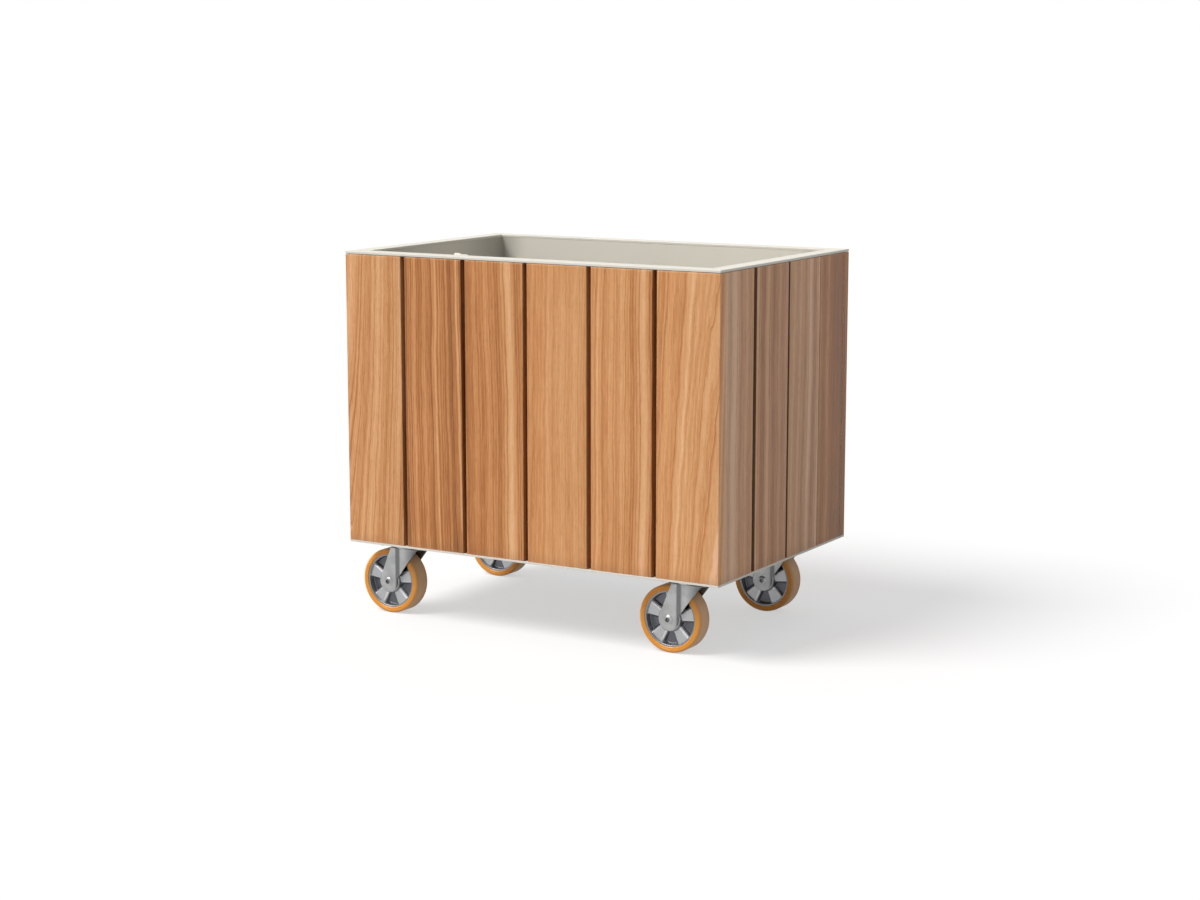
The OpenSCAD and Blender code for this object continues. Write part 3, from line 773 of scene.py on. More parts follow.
def place_boards():
    masters = {}
    for side, turn in SIDES.items():
        long_side = side in ("front", "back")
        last = len(FIGURES[side]) - 1
        for i, (heart_x, heart_depth, lean, *tone) in enumerate(FIGURES[side]):
            node = f"{side}_board_{i + 1}"
            low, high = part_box(node)
            size = high - low
            width, thickness = (size.y, size.x) if turn % 180 else (size.x, size.y)
            key = round(width / MM, 1)
            if key not in masters:
                masters[key] = shape_board(width, thickness, size.z)
            board = copy_of(masters[key], f"{node}_sawn")
            # Every board is sawn a little deeper in the trunk, so that no two have the same grain
            deep = heart_depth + DEEPER_EACH_BOARD * (i + 1) + DEEPER_EACH_DEGREE * turn
            note(board, "heart", "FLOAT_VECTOR", lambda p: (heart_x, deep, lean))
            note(board, "tone", "FLOAT_VECTOR", lambda p: tone_at(p.x / width, *tone))
            # The long boards' outer sides show at the corners, and all other sides face a neighbour
            low_x = -inf if long_side and i == 0 else TOUCH - width / 2
            high_x = inf if long_side and i == last else width / 2 - TOUCH
            # The sides that face a neighbour get painted shade, weaker between the long boards
            gap_shade = GAP_SHADE_ON_LONG_SIDES if long_side else 1.0
            note(board, "groove", "FLOAT", lambda p: gap_shade * (p.y > SHADE_BEHIND_ARRIS and not low_x < p.x < high_x))
            outward = Vector((sin(radians(turn)), -cos(radians(turn)), 0))
            foot = (low + high) / 2 + outward * thickness / 2 - Vector((0, 0, size.z / 2))
            board.data.transform(Matrix.Translation(foot) @ Matrix.Rotation(radians(turn), 4, "Z"))
            finish(board, "board_wood", "planter", node)
    discard(*masters.values())
    return len(masters)


widths = place_boards()
print("20 boards from", widths, "widths")

# %% [markdown]
# ## Rim and tub
# The rim is flat bar, mitred, welded and ground flush, and it lies over the board tops with its edge in line
# with their faces. A plane is inset by the bar's width, its middle is deleted, and what is left is pulled up
# to the bar's thickness. The walls below are a box without lid or bottom, whose welded corners were ground
# round.

# %% Rim
RIM_EDGE = 0.9 * MM
LINER_SHEET = 2 * MM


def make_rim():
    low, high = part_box("rim")
    size, centre = high - low, (low + high) / 2
    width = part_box("liner_walls")[0].x + LINER_SHEET - low.x
    rim = start("rim_frame", bpy.ops.mesh.primitive_plane_add, size=1)
    to_place = Matrix.Translation((centre.x, centre.y, low.z)) @ Matrix.Diagonal((size.x, size.y, 1, 1))
    rim.data.transform(to_place)
    edit()
    pick("faces", lambda f: True)
    bpy.ops.mesh.inset(thickness=width)
    bpy.ops.mesh.delete(type="FACE")
    bpy.ops.mesh.select_all(action="SELECT")
    bpy.ops.mesh.extrude_region_move(TRANSFORM_OT_translate={"value": (0, 0, size.z)})
    weld_and_face_out()
    round_edges(is_sharp, RIM_EDGE, 3)
    border(rim, 0.5 * size.z * size.y, 0.4 * RIM_EDGE)
    smooth(rim)
    return finish(rim, "cream_powder_coat", "planter", "rim")


describe(make_rim())

# %% Tub walls
TUB_CORNER = 4 * MM
LONG_WALL_FALL = 3


def make_tub_walls():
    low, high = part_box("liner_walls")
    sheet = Vector((LINER_SHEET, LINER_SHEET, 0))
    walls = block("tub_walls", low + sheet, high - sheet)
    edit()
    pick("faces", lambda f: abs(f.normal.z) > 0.9)
    bpy.ops.mesh.delete(type="ONLY_FACE")
    round_edges(lambda e: runs_along(e, 2), TUB_CORNER, 5)
    leave()
    add_modifier(walls, "SOLIDIFY", thickness=LINER_SHEET, offset=1, use_even_offset=True)
    # Both shares together are 1 in a corner, and they fall faster along the long walls
    half = (high - low) / 2
    whole = LONG_WALL_FALL * half.x + half.y
    note(walls, "corner", "FLOAT_VECTOR", lambda p: (LONG_WALL_FALL * p.x / whole, p.y / whole, 0))
    smooth(walls)
    return finish(walls, "cream_powder_coat", "planter", "liner_walls")


describe(make_tub_walls())

# %% [markdown]
# ## Base plate and its drain
# The base plate's edge is the thin pale line under the boards. It is a plate with eased edges and one hole
# in the middle, where the drain pipe comes down. The pipe is turned, so its outline is spun round.

# %% Turning
AXES = {"Y": (0, 1, 0), "Z": (0, 0, 1)}


def arc(centre_r, centre_along, radius, first, last, steps=6):
    """Points of an arc in (radius, along), from one angle to another in degrees."""
    turns = [radians(first + (last - first) * i / steps) for i in range(steps + 1)]
    return [(centre_r + radius * cos(t), centre_along + radius * sin(t)) for t in turns]


def ring(inner, outer, low, high, *cuts):
    """Outline of a ring. The cuts go off its corners: inner low, outer low, outer high and inner high."""
    outline = []
    corners = ((inner, low, 1, 1), (outer, low, -1, 1), (outer, high, -1, -1), (inner, high, 1, -1))
    for i, (r, along, aside, up) in enumerate(corners):
        cut = cuts[i] if cuts else 0
        ends = [(r, along + up * cut), (r + aside * cut, along)]
        outline += (ends[::-1] if i % 2 else ends) if cut else [(r, along)]
    return outline


def turned(name, outline, axis="Y", steps=48, closed=True):
    """Spins an outline of (radius, along) points in mm round an axis, as on a lathe."""
    points = [(r * MM, y * MM, 0) if axis == "Y" else (r * MM, 0, y * MM) for r, y in outline]
    count = len(points)
    edges = [(i, (i + 1) % count) for i in range(count if closed else count - 1)]
    mesh = bpy.data.meshes.new(name)
    mesh.from_pydata(points, edges, [])
    thing = add_object(name, mesh)
    choose(thing)
    edit()
    bpy.ops.mesh.select_all(action="SELECT")
    bpy.ops.mesh.spin(steps=steps, angle=2 * pi, center=(0, 0, 0), axis=AXES[axis])
    weld_and_face_out()
    leave()
    smooth(thing)
    return thing


print("the lathe is ready")

# %% Base plate
DRAIN_HOLE = 19 * MM
CUTTER_HEIGHT = 100 * MM
PLATE_EDGE = 0.6 * MM


def make_base_plate():
    low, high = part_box("base_plate")
    plate = block("deck_plate", low, high)
    edit()
    round_edges(is_sharp, PLATE_EDGE, 3)
    border(plate, 0.5 * (high.z - low.z) * (high.y - low.y), 0.4 * PLATE_EDGE)
    cutter = start("hole_cutter", bpy.ops.mesh.primitive_cylinder_add, vertices=64, radius=DRAIN_HOLE,
                   depth=CUTTER_HEIGHT, location=(0, 0, low.z))
    add_modifier(plate, "BOOLEAN", operation="DIFFERENCE", object=cutter, solver="EXACT")
    discard(cutter)
    smooth(plate)
    return finish(plate, "cream_powder_coat", "planter", "base_plate")


describe(make_base_plate())

# %% Drain pipe
DRAIN_BORE = 13
DRAIN_OUTER = 16
DRAIN_LIP = 1.5


def levels(node):
    """Bottom and top of a solid in mm."""
    low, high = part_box(node)
    return low.z / MM, high.z / MM


def make_drain():
    bottom, top = levels("drain_spigot")
    outline = ring(DRAIN_BORE, DRAIN_OUTER, bottom, top, 0.8, 0.8, 0.3, DRAIN_LIP)
    outline[-1:] = arc(DRAIN_BORE + DRAIN_LIP, top - DRAIN_LIP, DRAIN_LIP, 90, 180, 4)[1:]
    return finish(turned("drain_pipe", outline, axis="Z"), "cream_powder_coat", "planter", "drain_spigot")


describe(make_drain())

# %% [markdown]
# ## Hose clip
# Just inside the front rim sits a small strap rolled into an eye, for a watering hose. Only its top shows,
# as a small pale bump. The strap is a block with round edges, and the eye is a short turned tube.

# %% Hose clip
CLIP_SHEET = 2
EYE_LENGTH = 17


def make_hose_clip():
    low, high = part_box("hose_clip")
    rim_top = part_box("rim")[1].z
    eye_r = (high.y - low.y) / 2 / MM
    outline = ring(eye_r - CLIP_SHEET, eye_r, 0, EYE_LENGTH, 0.4, 0.5, 0.5, 0.4)
    eye = turned("eye", outline, axis="Z", steps=32)
    eye.data.transform(Matrix.Translation((low.x, low.y + eye_r * MM, high.z - eye_r * MM))
                       @ Matrix.Rotation(radians(90), 4, "Y"))
    strap = block("strap", low, (high.x, low.y + CLIP_SHEET * MM, high.z - eye_r * MM))
    tongue = block("tongue", (low.x + EYE_LENGTH * MM, low.y, high.z - (eye_r + 1) * MM),
                   (high.x - 0.2 * MM, low.y + (CLIP_SHEET - 0.2) * MM, (rim_top + high.z) / 2))
    for piece in (strap, tongue):
        choose(piece)
        edit()
        round_edges(is_sharp, 0.5 * MM, 2)
        leave()
    clip = join("watering_clip", [eye, strap, tongue])
    smooth(clip)
    return finish(clip, "cream_powder_coat", "planter", "hose_clip")


describe(make_hose_clip())

# %% [markdown]
# ## Tyre
# The tyre is a turned ring: a flat tread, round shoulders, and sides with a fine groove that end at the
# core's edge. One outline is spun round the axle. Its points keep their place from the wheel's middle as
# an attribute, so the dust on the tread stays on the tread when the wheel turns.

# %% Tyre
WHEEL_R = 80
TYRE_HALF = 25
SHOULDER = 6
CORE_R = 66
RING_HALF = 23


def shape_tyre():
    side = [
        (CORE_R + 0.02, -RING_HALF), (CORE_R + 0.3, -RING_HALF - 0.7), (CORE_R + 2, -TYRE_HALF + 0.1),
        (CORE_R + 2.8, -TYRE_HALF), (CORE_R + 4.2, -TYRE_HALF), (CORE_R + 4.7, -TYRE_HALF + 0.45),
        (CORE_R + 5.3, -TYRE_HALF + 0.45), (CORE_R + 5.8, -TYRE_HALF),
        *arc(WHEEL_R - SHOULDER, -TYRE_HALF + SHOULDER, SHOULDER, -90, 0, 7),
    ]
    tread = [(WHEEL_R, y) for y in (-12, -6, 0, 6, 12)]
    tyre = turned("tyre_master", side + tread + [(r, -y) for r, y in reversed(side)], steps=120)
    note(tyre, "own_place", "FLOAT_VECTOR", lambda p: p)
    return tyre


tyre_master = shape_tyre()
describe(tyre_master)

# %% [markdown]
# ## Wheel core
# The core is one casting: a hub, a closed web, five wide spokes and a ring. In a mould every wall leans a
# little and every inside corner is round. A flat grid is wrapped round the axle, so that its columns follow
# the spokes' edges and its rows follow circles, and the height of each point comes from three plain facts:
# the level of the web, the level of the spokes, and the round corner beside each wall. The second face is
# a mirrored copy, and the two are bridged at the hub and under the tyre.

# %% Heights on the core's face
# All sizes are in mm, from the axle and from the wheel's middle plane
SPOKES = 5
SPOKE_TURN = 16
HUB_HALF = 26.4
HUB_R = 29
SEAT_R = 23.52
RING_IN = 62
WEB_LEVEL = 6
SPOKE_LEVEL = 18
CORNER = 3.0
DRAFT = 0.4
SPOKE_WIDTH_HUB = 16
SPOKE_WIDTH_RING = 30
TURNED_R = HUB_R - 4
# Heights of the spokes' chamfers, paled as wear and as a painted highlight
WEAR_AND_GLINT_LOW, WEAR_AND_GLINT_HIGH = SPOKE_LEVEL - 3.5, SPOKE_LEVEL - 0.1


def corner_rise(gap, radius):
    """How far a round inside corner has risen at a distance from its wall."""
    if gap >= radius:
        return 0.0
    return radius - sqrt(max(radius ** 2 - (radius - gap) ** 2, 0))


def hollow(r, level):
    """Height between hub and ring: only the web has a round corner at the ring."""
    at_ring = corner_rise(RING_IN - DRAFT - r, CORNER) if level < SPOKE_LEVEL else 0
    return level + (corner_rise(r - HUB_R - DRAFT, CORNER) + at_ring)


ROUND = [CORNER * (1 - sin(radians(a))) for a in (90, 67, 45, 22, 0)]
LIP = [(RING_IN, 20.8), (RING_IN + 0.25, 21.7), (RING_IN + 0.8, 22.3), (RING_IN + 1.6, 22.6),
       (CORE_R - 0.9, 22.7), (CORE_R, RING_HALF - 0.2)]
ROWS = (
    [(SEAT_R, HUB_HALF - 0.5), (SEAT_R + 0.5, HUB_HALF), (HUB_R - 2.2, HUB_HALF),
     (HUB_R - 0.9, HUB_HALF - 0.5), (HUB_R, HUB_HALF - 2)]
    + [(HUB_R + DRAFT + gap, None) for gap in ROUND]
    + [(r, None) for r in (37, 43, 49, 55)]
    + [(RING_IN - DRAFT - gap, None) for gap in reversed(ROUND)]
    + LIP
)
# Distance outside the spoke's edge, and the drop from the spoke's top or the rise from the web
COLUMNS = [(-1.6, "top", 0), (-0.7, "top", 0.2), (0.2, "top", 0.9), (2.6, "top", 3.3), (3.2, "top", 4.3),
           (5.0, "web", 2.2), (5.7, "web", 1.1), (6.6, "web", 0.4), (7.5, "web", 0.1), (8.4, "web", 0)]
print(len(ROWS), "rows and", len(COLUMNS), "columns from a spoke to its pocket")


# %% Wrap the grid round the axle
def column_angle(r, column):
    """Angle from the spoke's middle, for a column counted from the middle to the pocket's middle."""
    r = max(r, HUB_R)
    along = min((r - HUB_R) / (RING_IN - HUB_R), 1)
    edge = (SPOKE_WIDTH_HUB + (SPOKE_WIDTH_RING - SPOKE_WIDTH_HUB) * along) / 2
    pocket = pi / SPOKES
    if column == 0:
        return 0.0
    if column == 1:
        return asin((edge + COLUMNS[0][0]) / 2 / r)
    if column < len(COLUMNS) + 2:
        return asin((edge + COLUMNS[column - 2][0]) / r)
    last = asin((edge + COLUMNS[-1][0]) / r)
    return last + (pocket - last) * (column - len(COLUMNS) - 1) / 3


def core_height(row, column):
    """Height of a point over the wheel's middle plane. A fixed row has the same height all round."""
    r, fixed = ROWS[row]
    if fixed is not None:
        return fixed
    if column < 2:
        return hollow(r, SPOKE_LEVEL)
    if column >= len(COLUMNS) + 2:
        return hollow(r, WEB_LEVEL)
    _, base, step = COLUMNS[column - 2]
    return hollow(r, SPOKE_LEVEL) - step if base == "top" else hollow(r, WEB_LEVEL) + step


def from_axle(place):
    """Distance from the wheel's axis in mm."""
    return hypot(place.x, place.z) / MM


def shape_core():
    half = len(COLUMNS) + 4
    signed = list(range(-half, half))
    across, up = SPOKES * len(signed), len(ROWS) - 1
    front = start("core_front", bpy.ops.mesh.primitive_grid_add, size=2, x_subdivisions=across,
                  y_subdivisions=up)
    for vertex in front.data.vertices:
        i = round((vertex.co.x + 1) / 2 * across)
        j = round((vertex.co.y + 1) / 2 * up)
        spoke, column = divmod(i, len(signed))
        column = signed[column]
        r = ROWS[j][0]
        side = 1 if column >= 0 else -1
        angle = radians(SPOKE_TURN) + spoke * 2 * pi / SPOKES + side * column_angle(r, abs(column))
        vertex.co = Vector((r * cos(angle), -core_height(j, abs(column)), r * sin(angle))) * MM
    back = copy_of(front, "core_back", Matrix.Diagonal((1, -1, 1, 1)))
    core = join("core_master", [front, back])
    edit()
    weld_and_face_out()
    for radius in (SEAT_R, CORE_R):
        pick("edges", lambda e: e.is_boundary and abs(from_axle(middle(e)) - radius) < 0.4)
        bpy.ops.mesh.bridge_edge_loops()
    weld_and_face_out()
    leave()
    smooth(core, 40)
    note(core, "own_place", "FLOAT_VECTOR", lambda p: p)
    note(core, "turned", "FLOAT", lambda p: float(from_axle(p) < TURNED_R))
    # The chamfers get `edge`: wear and a painted highlight in the finish
    note(core, "edge", "FLOAT", lambda p: float(
        WEAR_AND_GLINT_LOW < abs(p.y) / MM < WEAR_AND_GLINT_HIGH and from_axle(p) < RING_IN - 0.2))
    return core


core_master = shape_core()
describe(core_master)

# %% [markdown]
# ## Fork
# A fork like this is blanked from 3.5 mm sheet, gets a bead pressed into each leg to stiffen it, and is then
# bent over. It is made here the same way: the outline of one leg is cut into strips where the bead will be,
# its top edge is spun a quarter turn for the bend and pulled in to the middle, the other leg is mirrored,
# and the sheet gets its thickness. Only then is the bead pressed in, from outside.

# %% Leg outline
# All sizes are in mm, along X and up from the axle
SHEET = 3.5
LEG_R = 25
LEAN = 22
SLOPE = 52.4
SLOPE_FROM = (24, 8)
TRAIL = 47.4
CROWN_HALF = 57
FORK_OUT = 30.5
LEG_TOP = 90.5
BEND_R = 2 * SHEET
FLARE_R = 33
SLOPE_TOP_Z = LEG_TOP - 13.5
SLOPE_TOP_X = SLOPE_FROM[0] + (SLOPE_TOP_Z - SLOPE_FROM[1]) / tan(radians(SLOPE))
FLARE = (SLOPE_TOP_X + FLARE_R * sin(radians(SLOPE)), SLOPE_TOP_Z - FLARE_R * cos(radians(SLOPE)))


def front_edge(z):
    """X of the leg's straight front edge, which touches the round foot."""
    tangent = radians(180 - LEAN)
    return LEG_R * cos(tangent) + (z - LEG_R * sin(tangent)) * tan(radians(LEAN))


def rear_edge(z):
    """X of the leg's rear edge: a straight slope, then a flare out to the crown."""
    if z < SLOPE_TOP_Z:
        return SLOPE_FROM[0] + (z - SLOPE_FROM[1]) / tan(radians(SLOPE))
    return min(FLARE[0] - sqrt(max(FLARE_R ** 2 - (z - FLARE[1]) ** 2, 0)), TRAIL + CROWN_HALF)


def leg_outline(top):
    """The leg up to a height, as (x, z) points."""
    foot = arc(0, 0, LEG_R, 18, -180 - LEAN, 30)
    rear = [top - (top - SLOPE_TOP_Z) * i / 4 for i in range(5)]
    return foot + [(front_edge(top), top)] + [(rear_edge(z), z) for z in rear] + [SLOPE_FROM]


print("leg outline has", len(leg_outline(LEG_TOP - BEND_R)), "points")

# %% Blank, bend and thicken the sheet
BEAD_FROM, BEAD_DEEPEST, BEAD_TO = 20, 31, 46.5
BEAD_DEPTH = 2.0
BEAD_LINES = (BEAD_FROM, 21.2, 22.5, 24, 25.5, 27, 28.5, 29.8, BEAD_DEEPEST,
              33, 35, 37.5, 40, 42.5, 45, BEAD_TO)


def bend_sheet():
    bend_z = LEG_TOP - BEND_R
    skin_y = -FORK_OUT + SHEET / 2
    outline = [(x * MM, skin_y * MM, z * MM) for x, z in leg_outline(bend_z)]
    mesh = bpy.data.meshes.new("sheet")
    mesh.from_pydata(outline, [], [range(len(outline))])
    sheet = add_object("sheet", mesh)
    choose(sheet)
    edit()
    for x in BEAD_LINES:
        bpy.ops.mesh.select_all(action="SELECT")
        bpy.ops.mesh.bisect(plane_co=(x * MM, 0, 0), plane_no=(1, 0, 0))
    pick("edges", lambda e: all(abs(v.co.z / MM - bend_z) < 0.01 for v in e.verts))
    turn_r = BEND_R - SHEET / 2
    bpy.ops.mesh.spin(steps=6, angle=pi / 2, center=(0, (skin_y + turn_r) * MM, bend_z * MM), axis=(1, 0, 0))
    bpy.ops.mesh.extrude_region_move(TRANSFORM_OT_translate={"value": (0, -(skin_y + turn_r) * MM, 0)})
    weld_and_face_out()
    leave()
    for vertex in sheet.data.vertices:
        x, y, z = vertex.co / MM
        if z > bend_z + 0.01:
            share = (x - front_edge(bend_z)) / (rear_edge(bend_z) - front_edge(bend_z))
            level = bend_z + (z - bend_z) * BEND_R / turn_r
            vertex.co.x = MM * (front_edge(level) + share * (rear_edge(level) - front_edge(level)))
    add_modifier(sheet, "MIRROR", use_axis=(False, True, False), merge_threshold=0.02 * MM)
    add_modifier(sheet, "SOLIDIFY", thickness=SHEET * MM, offset=0, use_even_offset=True)
    return sheet


sheet = bend_sheet()
describe(sheet)

# %% Press the bead and add the swivel ring
RACE_IN, RACE_OUT = 25, 40
FLANK_TO = BEAD_DEEPEST + 4
# How much painted shade the bead's steep flank gets
FLANK_SHADE = 0.86
FLARE_FADE = 14


def bead(x):
    """Depth of the bead at a place along the leg, in mm."""
    if x <= BEAD_FROM or x >= BEAD_TO:
        return 0.0
    if x < BEAD_DEEPEST:
        share = (x - BEAD_FROM) / (BEAD_DEEPEST - BEAD_FROM)
    else:
        share = (BEAD_TO - x) / (BEAD_TO - BEAD_DEEPEST)
    return BEAD_DEPTH * (1 - cos(pi * share)) / 2


def pressed(x, y, z):
    """Painted shade on the zinc: inside the fork, on the bead's steep flank, and softly towards the flare."""
    if abs(y) < FORK_OUT - SHEET + 0.05 and z < LEG_TOP - SHEET + 0.05:
        return 1.0
    if abs(y) < FORK_OUT - BEND_R or z > LEG_TOP:
        return 0.0
    flank = min((x - BEAD_FROM) / 2, (FLANK_TO - x) / 5, 1)
    return max(FLANK_SHADE * flank, min((x - BEAD_TO) / FLARE_FADE, 1), 0)


def shape_fork(sheet):
    bend_y, bend_z = FORK_OUT - BEND_R, LEG_TOP - BEND_R
    for vertex in sheet.data.vertices:
        x, y, z = vertex.co / MM
        out, up = abs(y) - bend_y, max(z - bend_z, 0)
        reach = hypot(out, up)
        if out > 0 and reach > BEND_R - 0.3:
            # The bead is deep on the leg and fades out round the bend
            sunk = bead(x) * out / reach
            vertex.co.y -= MM * sunk * out / reach * (1 if y > 0 else -1)
            vertex.co.z -= MM * sunk * up / reach
    add_modifier(sheet, "BEVEL", width=0.5 * MM, segments=2, limit_method="ANGLE", angle_limit=radians(50))
    top = levels("front_left_fork")[1] - WHEEL_R
    outline = ring(RACE_IN, RACE_OUT, LEG_TOP - SHEET / 2, top, 0, 0, 0.8, 0.4)
    race = turned("race", outline, axis="Z", steps=64)
    move(race, x=TRAIL)
    fork = join("fork_master", [sheet, race])
    # Inside the fork, on the bead's flank and towards the flare the zinc gets painted shade
    note(fork, "pressed", "FLOAT", lambda p: pressed(*(p / MM)))
    smooth(fork, 30)
    return fork


fork_master = shape_fork(sheet)
describe(fork_master)

# %% [markdown]
# ## Axle bolt
# The axle is a domed bolt with a hexagon socket, and at the back a washer and a nut. All of them begin as
# turned shapes. A nut is a turned disc with chamfered corners that is then milled to six flats, so the same
# is done here: every point that lies outside the hexagon is drawn in to it.

# %% Axle
AXLE_R = 6
HEAD_R = 11
HEAD_H = 4.5
SOCKET_ACROSS = 9.5
SOCKET_R = 0.6 * SOCKET_ACROSS
SOCKET_DEEP = 2.7
WASHER_R = 13
WASHER_T = 1.8
NUT_H = 7
AXLE_NUT = 18.3


def hexed(thing, axis, across, test=lambda place: True):
    """Mills the points that pass the test to a hexagon, across flats in mm."""
    second = 2 if axis == "Y" else 1
    for place in [vertex.co for vertex in thing.data.vertices if test(vertex.co)]:
        angle = atan2(place[second], place[0])
        flat = across / 2 * MM / cos((angle + pi / 6) % (pi / 3) - pi / 6)
        radius = hypot(place[0], place[second])
        if radius > flat:
            place[0] *= flat / radius
            place[second] *= flat / radius


def make_nut(name, across, height, bore, axis="Y"):
    """A nut or a bolt's head, standing on the origin."""
    flat, corner = across / 2 - 0.3, across / 2 / cos(pi / 6)
    outline = [(bore + 0.8, 0), (flat, 0), (corner, 0.14 * height), (corner, 0.86 * height), (flat, height),
               (bore + 0.8, height), (bore, height - 0.8), (bore, 0.8)]
    nut = turned(name, outline, axis)
    hexed(nut, axis, across)
    return nut


def in_socket(place):
    """Whether a point of the bolt is in its socket."""
    return place.y < -(FORK_OUT + 1) * MM and from_axle(place) < SOCKET_R + 0.1


def shape_axle():
    top = FORK_OUT + HEAD_H
    cap = HEAD_H - 0.8
    ball_r = (HEAD_R ** 2 + cap ** 2) / (2 * cap)
    dome = [(r, -top + ball_r - sqrt(ball_r ** 2 - r ** 2)) for r in (6.4, 7.4, 8.4, 9.4, 10.3, 10.9)]
    dome += [(HEAD_R, -FORK_OUT - 0.6), (HEAD_R, -FORK_OUT)]
    end = FORK_OUT + WASHER_T + NUT_H + 2
    socket = [(0, -top + SOCKET_DEEP), (SOCKET_R, -top + SOCKET_DEEP), (SOCKET_R, -top + 0.3),
              (SOCKET_R + 0.5, -top), (SOCKET_R + 0.9, -top)]
    shank = [(AXLE_R, -FORK_OUT), (AXLE_R, end - 1), (AXLE_R - 1, end), (0, end)]
    bolt = turned("bolt", socket + dome + shank, closed=False)
    hexed(bolt, "Y", SOCKET_ACROSS, in_socket)
    washer = turned("washer", ring(AXLE_R, WASHER_R, FORK_OUT, FORK_OUT + WASHER_T, 0, 0, 0.4, 0))
    nut = make_nut("nut", AXLE_NUT, NUT_H, AXLE_R)
    move(nut, y=FORK_OUT + WASHER_T)
    axle = join("axle_master", [bolt, washer, nut])
    # The socket's inside gets painted shade
    note(axle, "pressed", "FLOAT", lambda p: float(in_socket(p)))
    smooth(axle, 30)
    return axle


axle_master = shape_axle()
describe(axle_master)

# %% [markdown]
# ## Mounting plate, race and fasteners
# Above the fork a ring of balls runs between the fork and the mounting plate, and four bolts hold the plate
# to the planter. The plate is a block with round corners. The bolts have chamfered hexagon heads and
# washers, made once and copied to all sixteen places.

# %% Mounting plate
PLATE_CORNER = 10 * MM


def shape_top_plate():
    low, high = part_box("front_left_top_plate")
    plate = block("plate_master", low, high)
    edit()
    round_edges(lambda e: runs_along(e, 2), PLATE_CORNER, 8)
    round_edges(is_sharp, PLATE_EDGE, 2)
    border(plate, 0.2 * (high.x - low.x) * (high.y - low.y), 2 * MM)
    smooth(plate)
    plate.data.transform(Matrix.Translation((-(low.x + high.x) / 2, -(low.y + high.y) / 2, 0)))
    return plate


plate_master = shape_top_plate()
describe(plate_master)

# %% Upper race
RACE_BOTTOM = 174.3


def shape_race():
    top = levels("front_left_ball_race")[1]
    outline = ring(RACE_IN, RACE_OUT, RACE_BOTTOM, top, 0.4, 0.6, 1.2, 0)
    return turned("race_master", outline, axis="Z", steps=64)


race_master = shape_race()
describe(race_master)

# %% Kingpins
CORNERS = ("front_left", "front_right", "back_left", "back_right")
KINGPIN_R = 6
KINGPIN_NUT = 19


def swivel_place(corner):
    """Where a caster's swivel axis meets the floor."""
    low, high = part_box(f"{corner}_top_plate")
    return Vector(((low.x + high.x) / 2, (low.y + high.y) / 2, 0))


def make_kingpins():
    bottom, top = levels("kingpins")
    nut_z = bottom + 2
    pin = turned("pin", [(0, bottom), (KINGPIN_R - 0.8, bottom), (KINGPIN_R, bottom + 0.8),
                         (KINGPIN_R, top - 1), (0, top - 1)], axis="Z", closed=False)
    nut = make_nut("nut", KINGPIN_NUT, NUT_H, KINGPIN_R, axis="Z")
    move(nut, z=nut_z)
    outline = ring(KINGPIN_R, WASHER_R, nut_z + NUT_H, nut_z + NUT_H + WASHER_T)
    washer = turned("washer", outline, axis="Z")
    master = join("kingpin_master", [pin, nut, washer])
    pins = [copy_of(master, "pin", Matrix.Translation(swivel_place(corner))) for corner in CORNERS]
    discard(master)
    kingpins = join("kingpin_set", pins)
    smooth(kingpins, 30)
    return finish(kingpins, "zinc_plated_steel", "planter", "kingpins")


describe(make_kingpins())

# %% Mounting bolts
BOLT_R = 5
BOLT_ACROSS = 16.4
BOLT_WASHER_R = 9.5
BOLT_WASHER_T = 1.2
BOLT_NUT_H = 8
BOLT_SPAN = (105 * MM, 80 * MM)


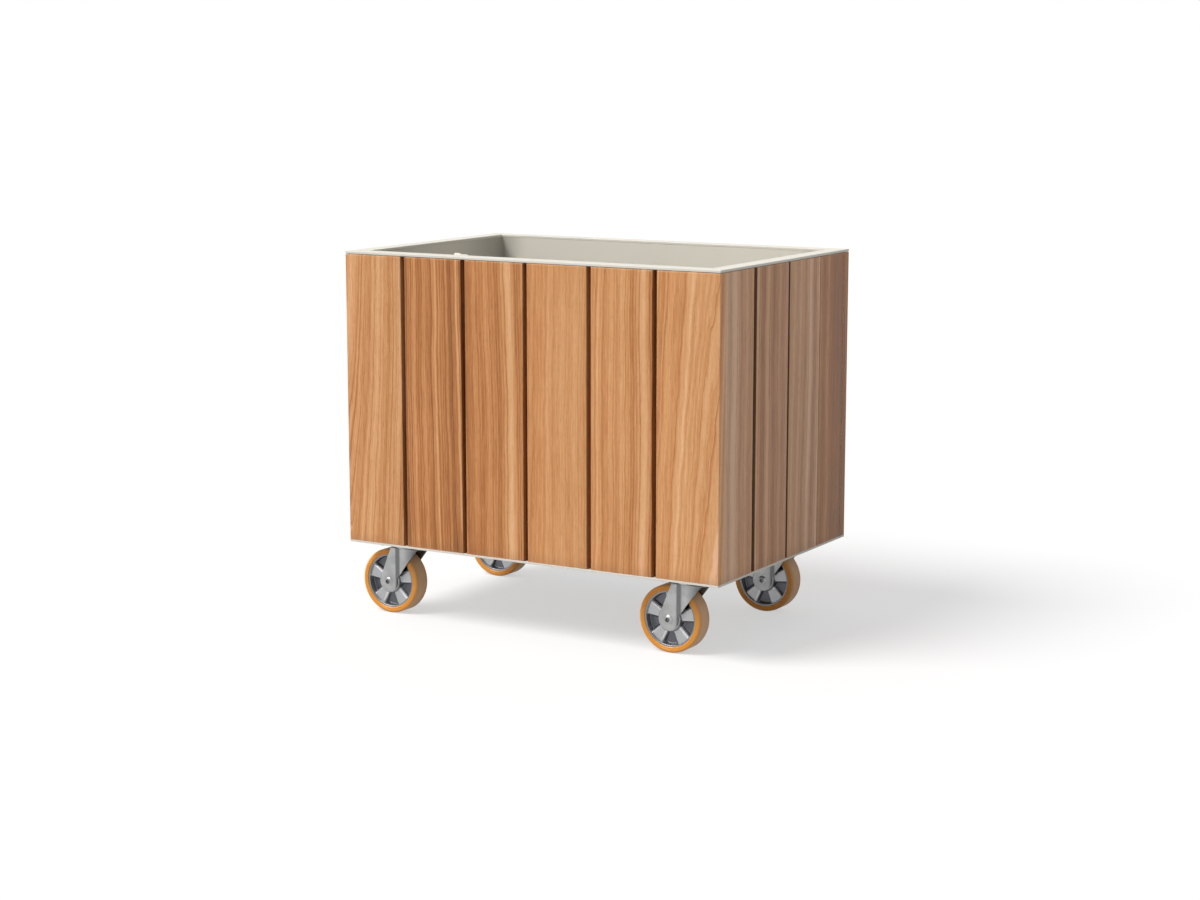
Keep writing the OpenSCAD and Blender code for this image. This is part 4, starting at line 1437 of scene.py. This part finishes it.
def make_caster_bolts():
    bottom, top = levels("caster_bolts")
    plate_low = levels("front_left_top_plate")[0]
    head = make_nut("head", BOLT_ACROSS, plate_low - bottom - BOLT_WASHER_T, 0.8, axis="Z")
    move(head, z=bottom)
    outline = [(0, bottom + 0.3), (BOLT_R, bottom + 0.3), (BOLT_R, top - 1), (BOLT_R - 1, top), (0, top)]
    shank = turned("shank", outline, axis="Z", steps=24, closed=False)
    outline = ring(BOLT_R, BOLT_WASHER_R, plate_low - BOLT_WASHER_T, plate_low)
    washer = turned("washer", outline, axis="Z", steps=32)
    nut = make_nut("nut", BOLT_ACROSS, BOLT_NUT_H, BOLT_R, axis="Z")
    move(nut, z=levels("base_plate")[1])
    master = join("bolt_master", [head, shank, washer, nut])
    places = [swivel_place(corner) + Vector((sx * BOLT_SPAN[0] / 2, sy * BOLT_SPAN[1] / 2, 0))
              for corner in CORNERS for sx in (-1, 1) for sy in (-1, 1)]
    bolts = join("bolt_set", [copy_of(master, "bolt", Matrix.Translation(place)) for place in places])
    discard(master)
    smooth(bolts, 30)
    return finish(bolts, "zinc_plated_steel", "planter", "caster_bolts")


describe(make_caster_bolts())

# %% [markdown]
# ## Four casters
# Each master is copied to the four corners. The wheel rides on the wheel's body, the fork and its bolt on
# the swivelling one, and the plate and the upper race on the planter, so every joint can turn.


# %% Place the casters
def place_casters():
    for corner in CORNERS:
        low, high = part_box(f"{corner}_tyre")
        at_axle = Matrix.Translation((low + high) / 2)
        at_swivel = Matrix.Translation(swivel_place(corner))
        wheel, fork = f"{corner}_wheel", f"{corner}_swivel_fork"
        for master, part, place, slot, body in (
            (tyre_master, "tyre", at_axle, "orange_polyurethane", wheel),
            (core_master, "wheel_core", at_axle, "cast_aluminium", wheel),
            (fork_master, "fork", at_axle, "zinc_plated_steel", fork),
            (axle_master, "axle", at_axle, "zinc_plated_steel", fork),
            (plate_master, "top_plate", at_swivel, "zinc_plated_steel", "planter"),
            (race_master, "ball_race", at_swivel, "bearing_steel", "planter"),
        ):
            finish(copy_of(master, f"{corner}_{part}_made", place), slot, body, f"{corner}_{part}")
    discard(tyre_master, core_master, fork_master, axle_master, plate_master, race_master)


place_casters()
print("casters placed at", [tuple(round(x, 3) for x in swivel_place(corner)) for corner in CORNERS])

# %% [markdown]
# ## What stays as the frame made it
# Some pieces are hidden or plain enough that the frame's own solids are right as they are. They only get
# their finish, taken from the record's list of material slots.

# %% Dress the remaining solids
def dress_frame_nodes():
    slots = {part["node"]: part["material_slot"] for part in frame["record"]["subparts"]}
    for name, thing in frame["nodes"].items():
        if not thing.material_slots:
            thing.data.materials.append(None)
        for place in thing.material_slots:
            place.material = FINISHES[slots[name]]
    return len(slots)


print(dress_frame_nodes(), "nodes have their finish")
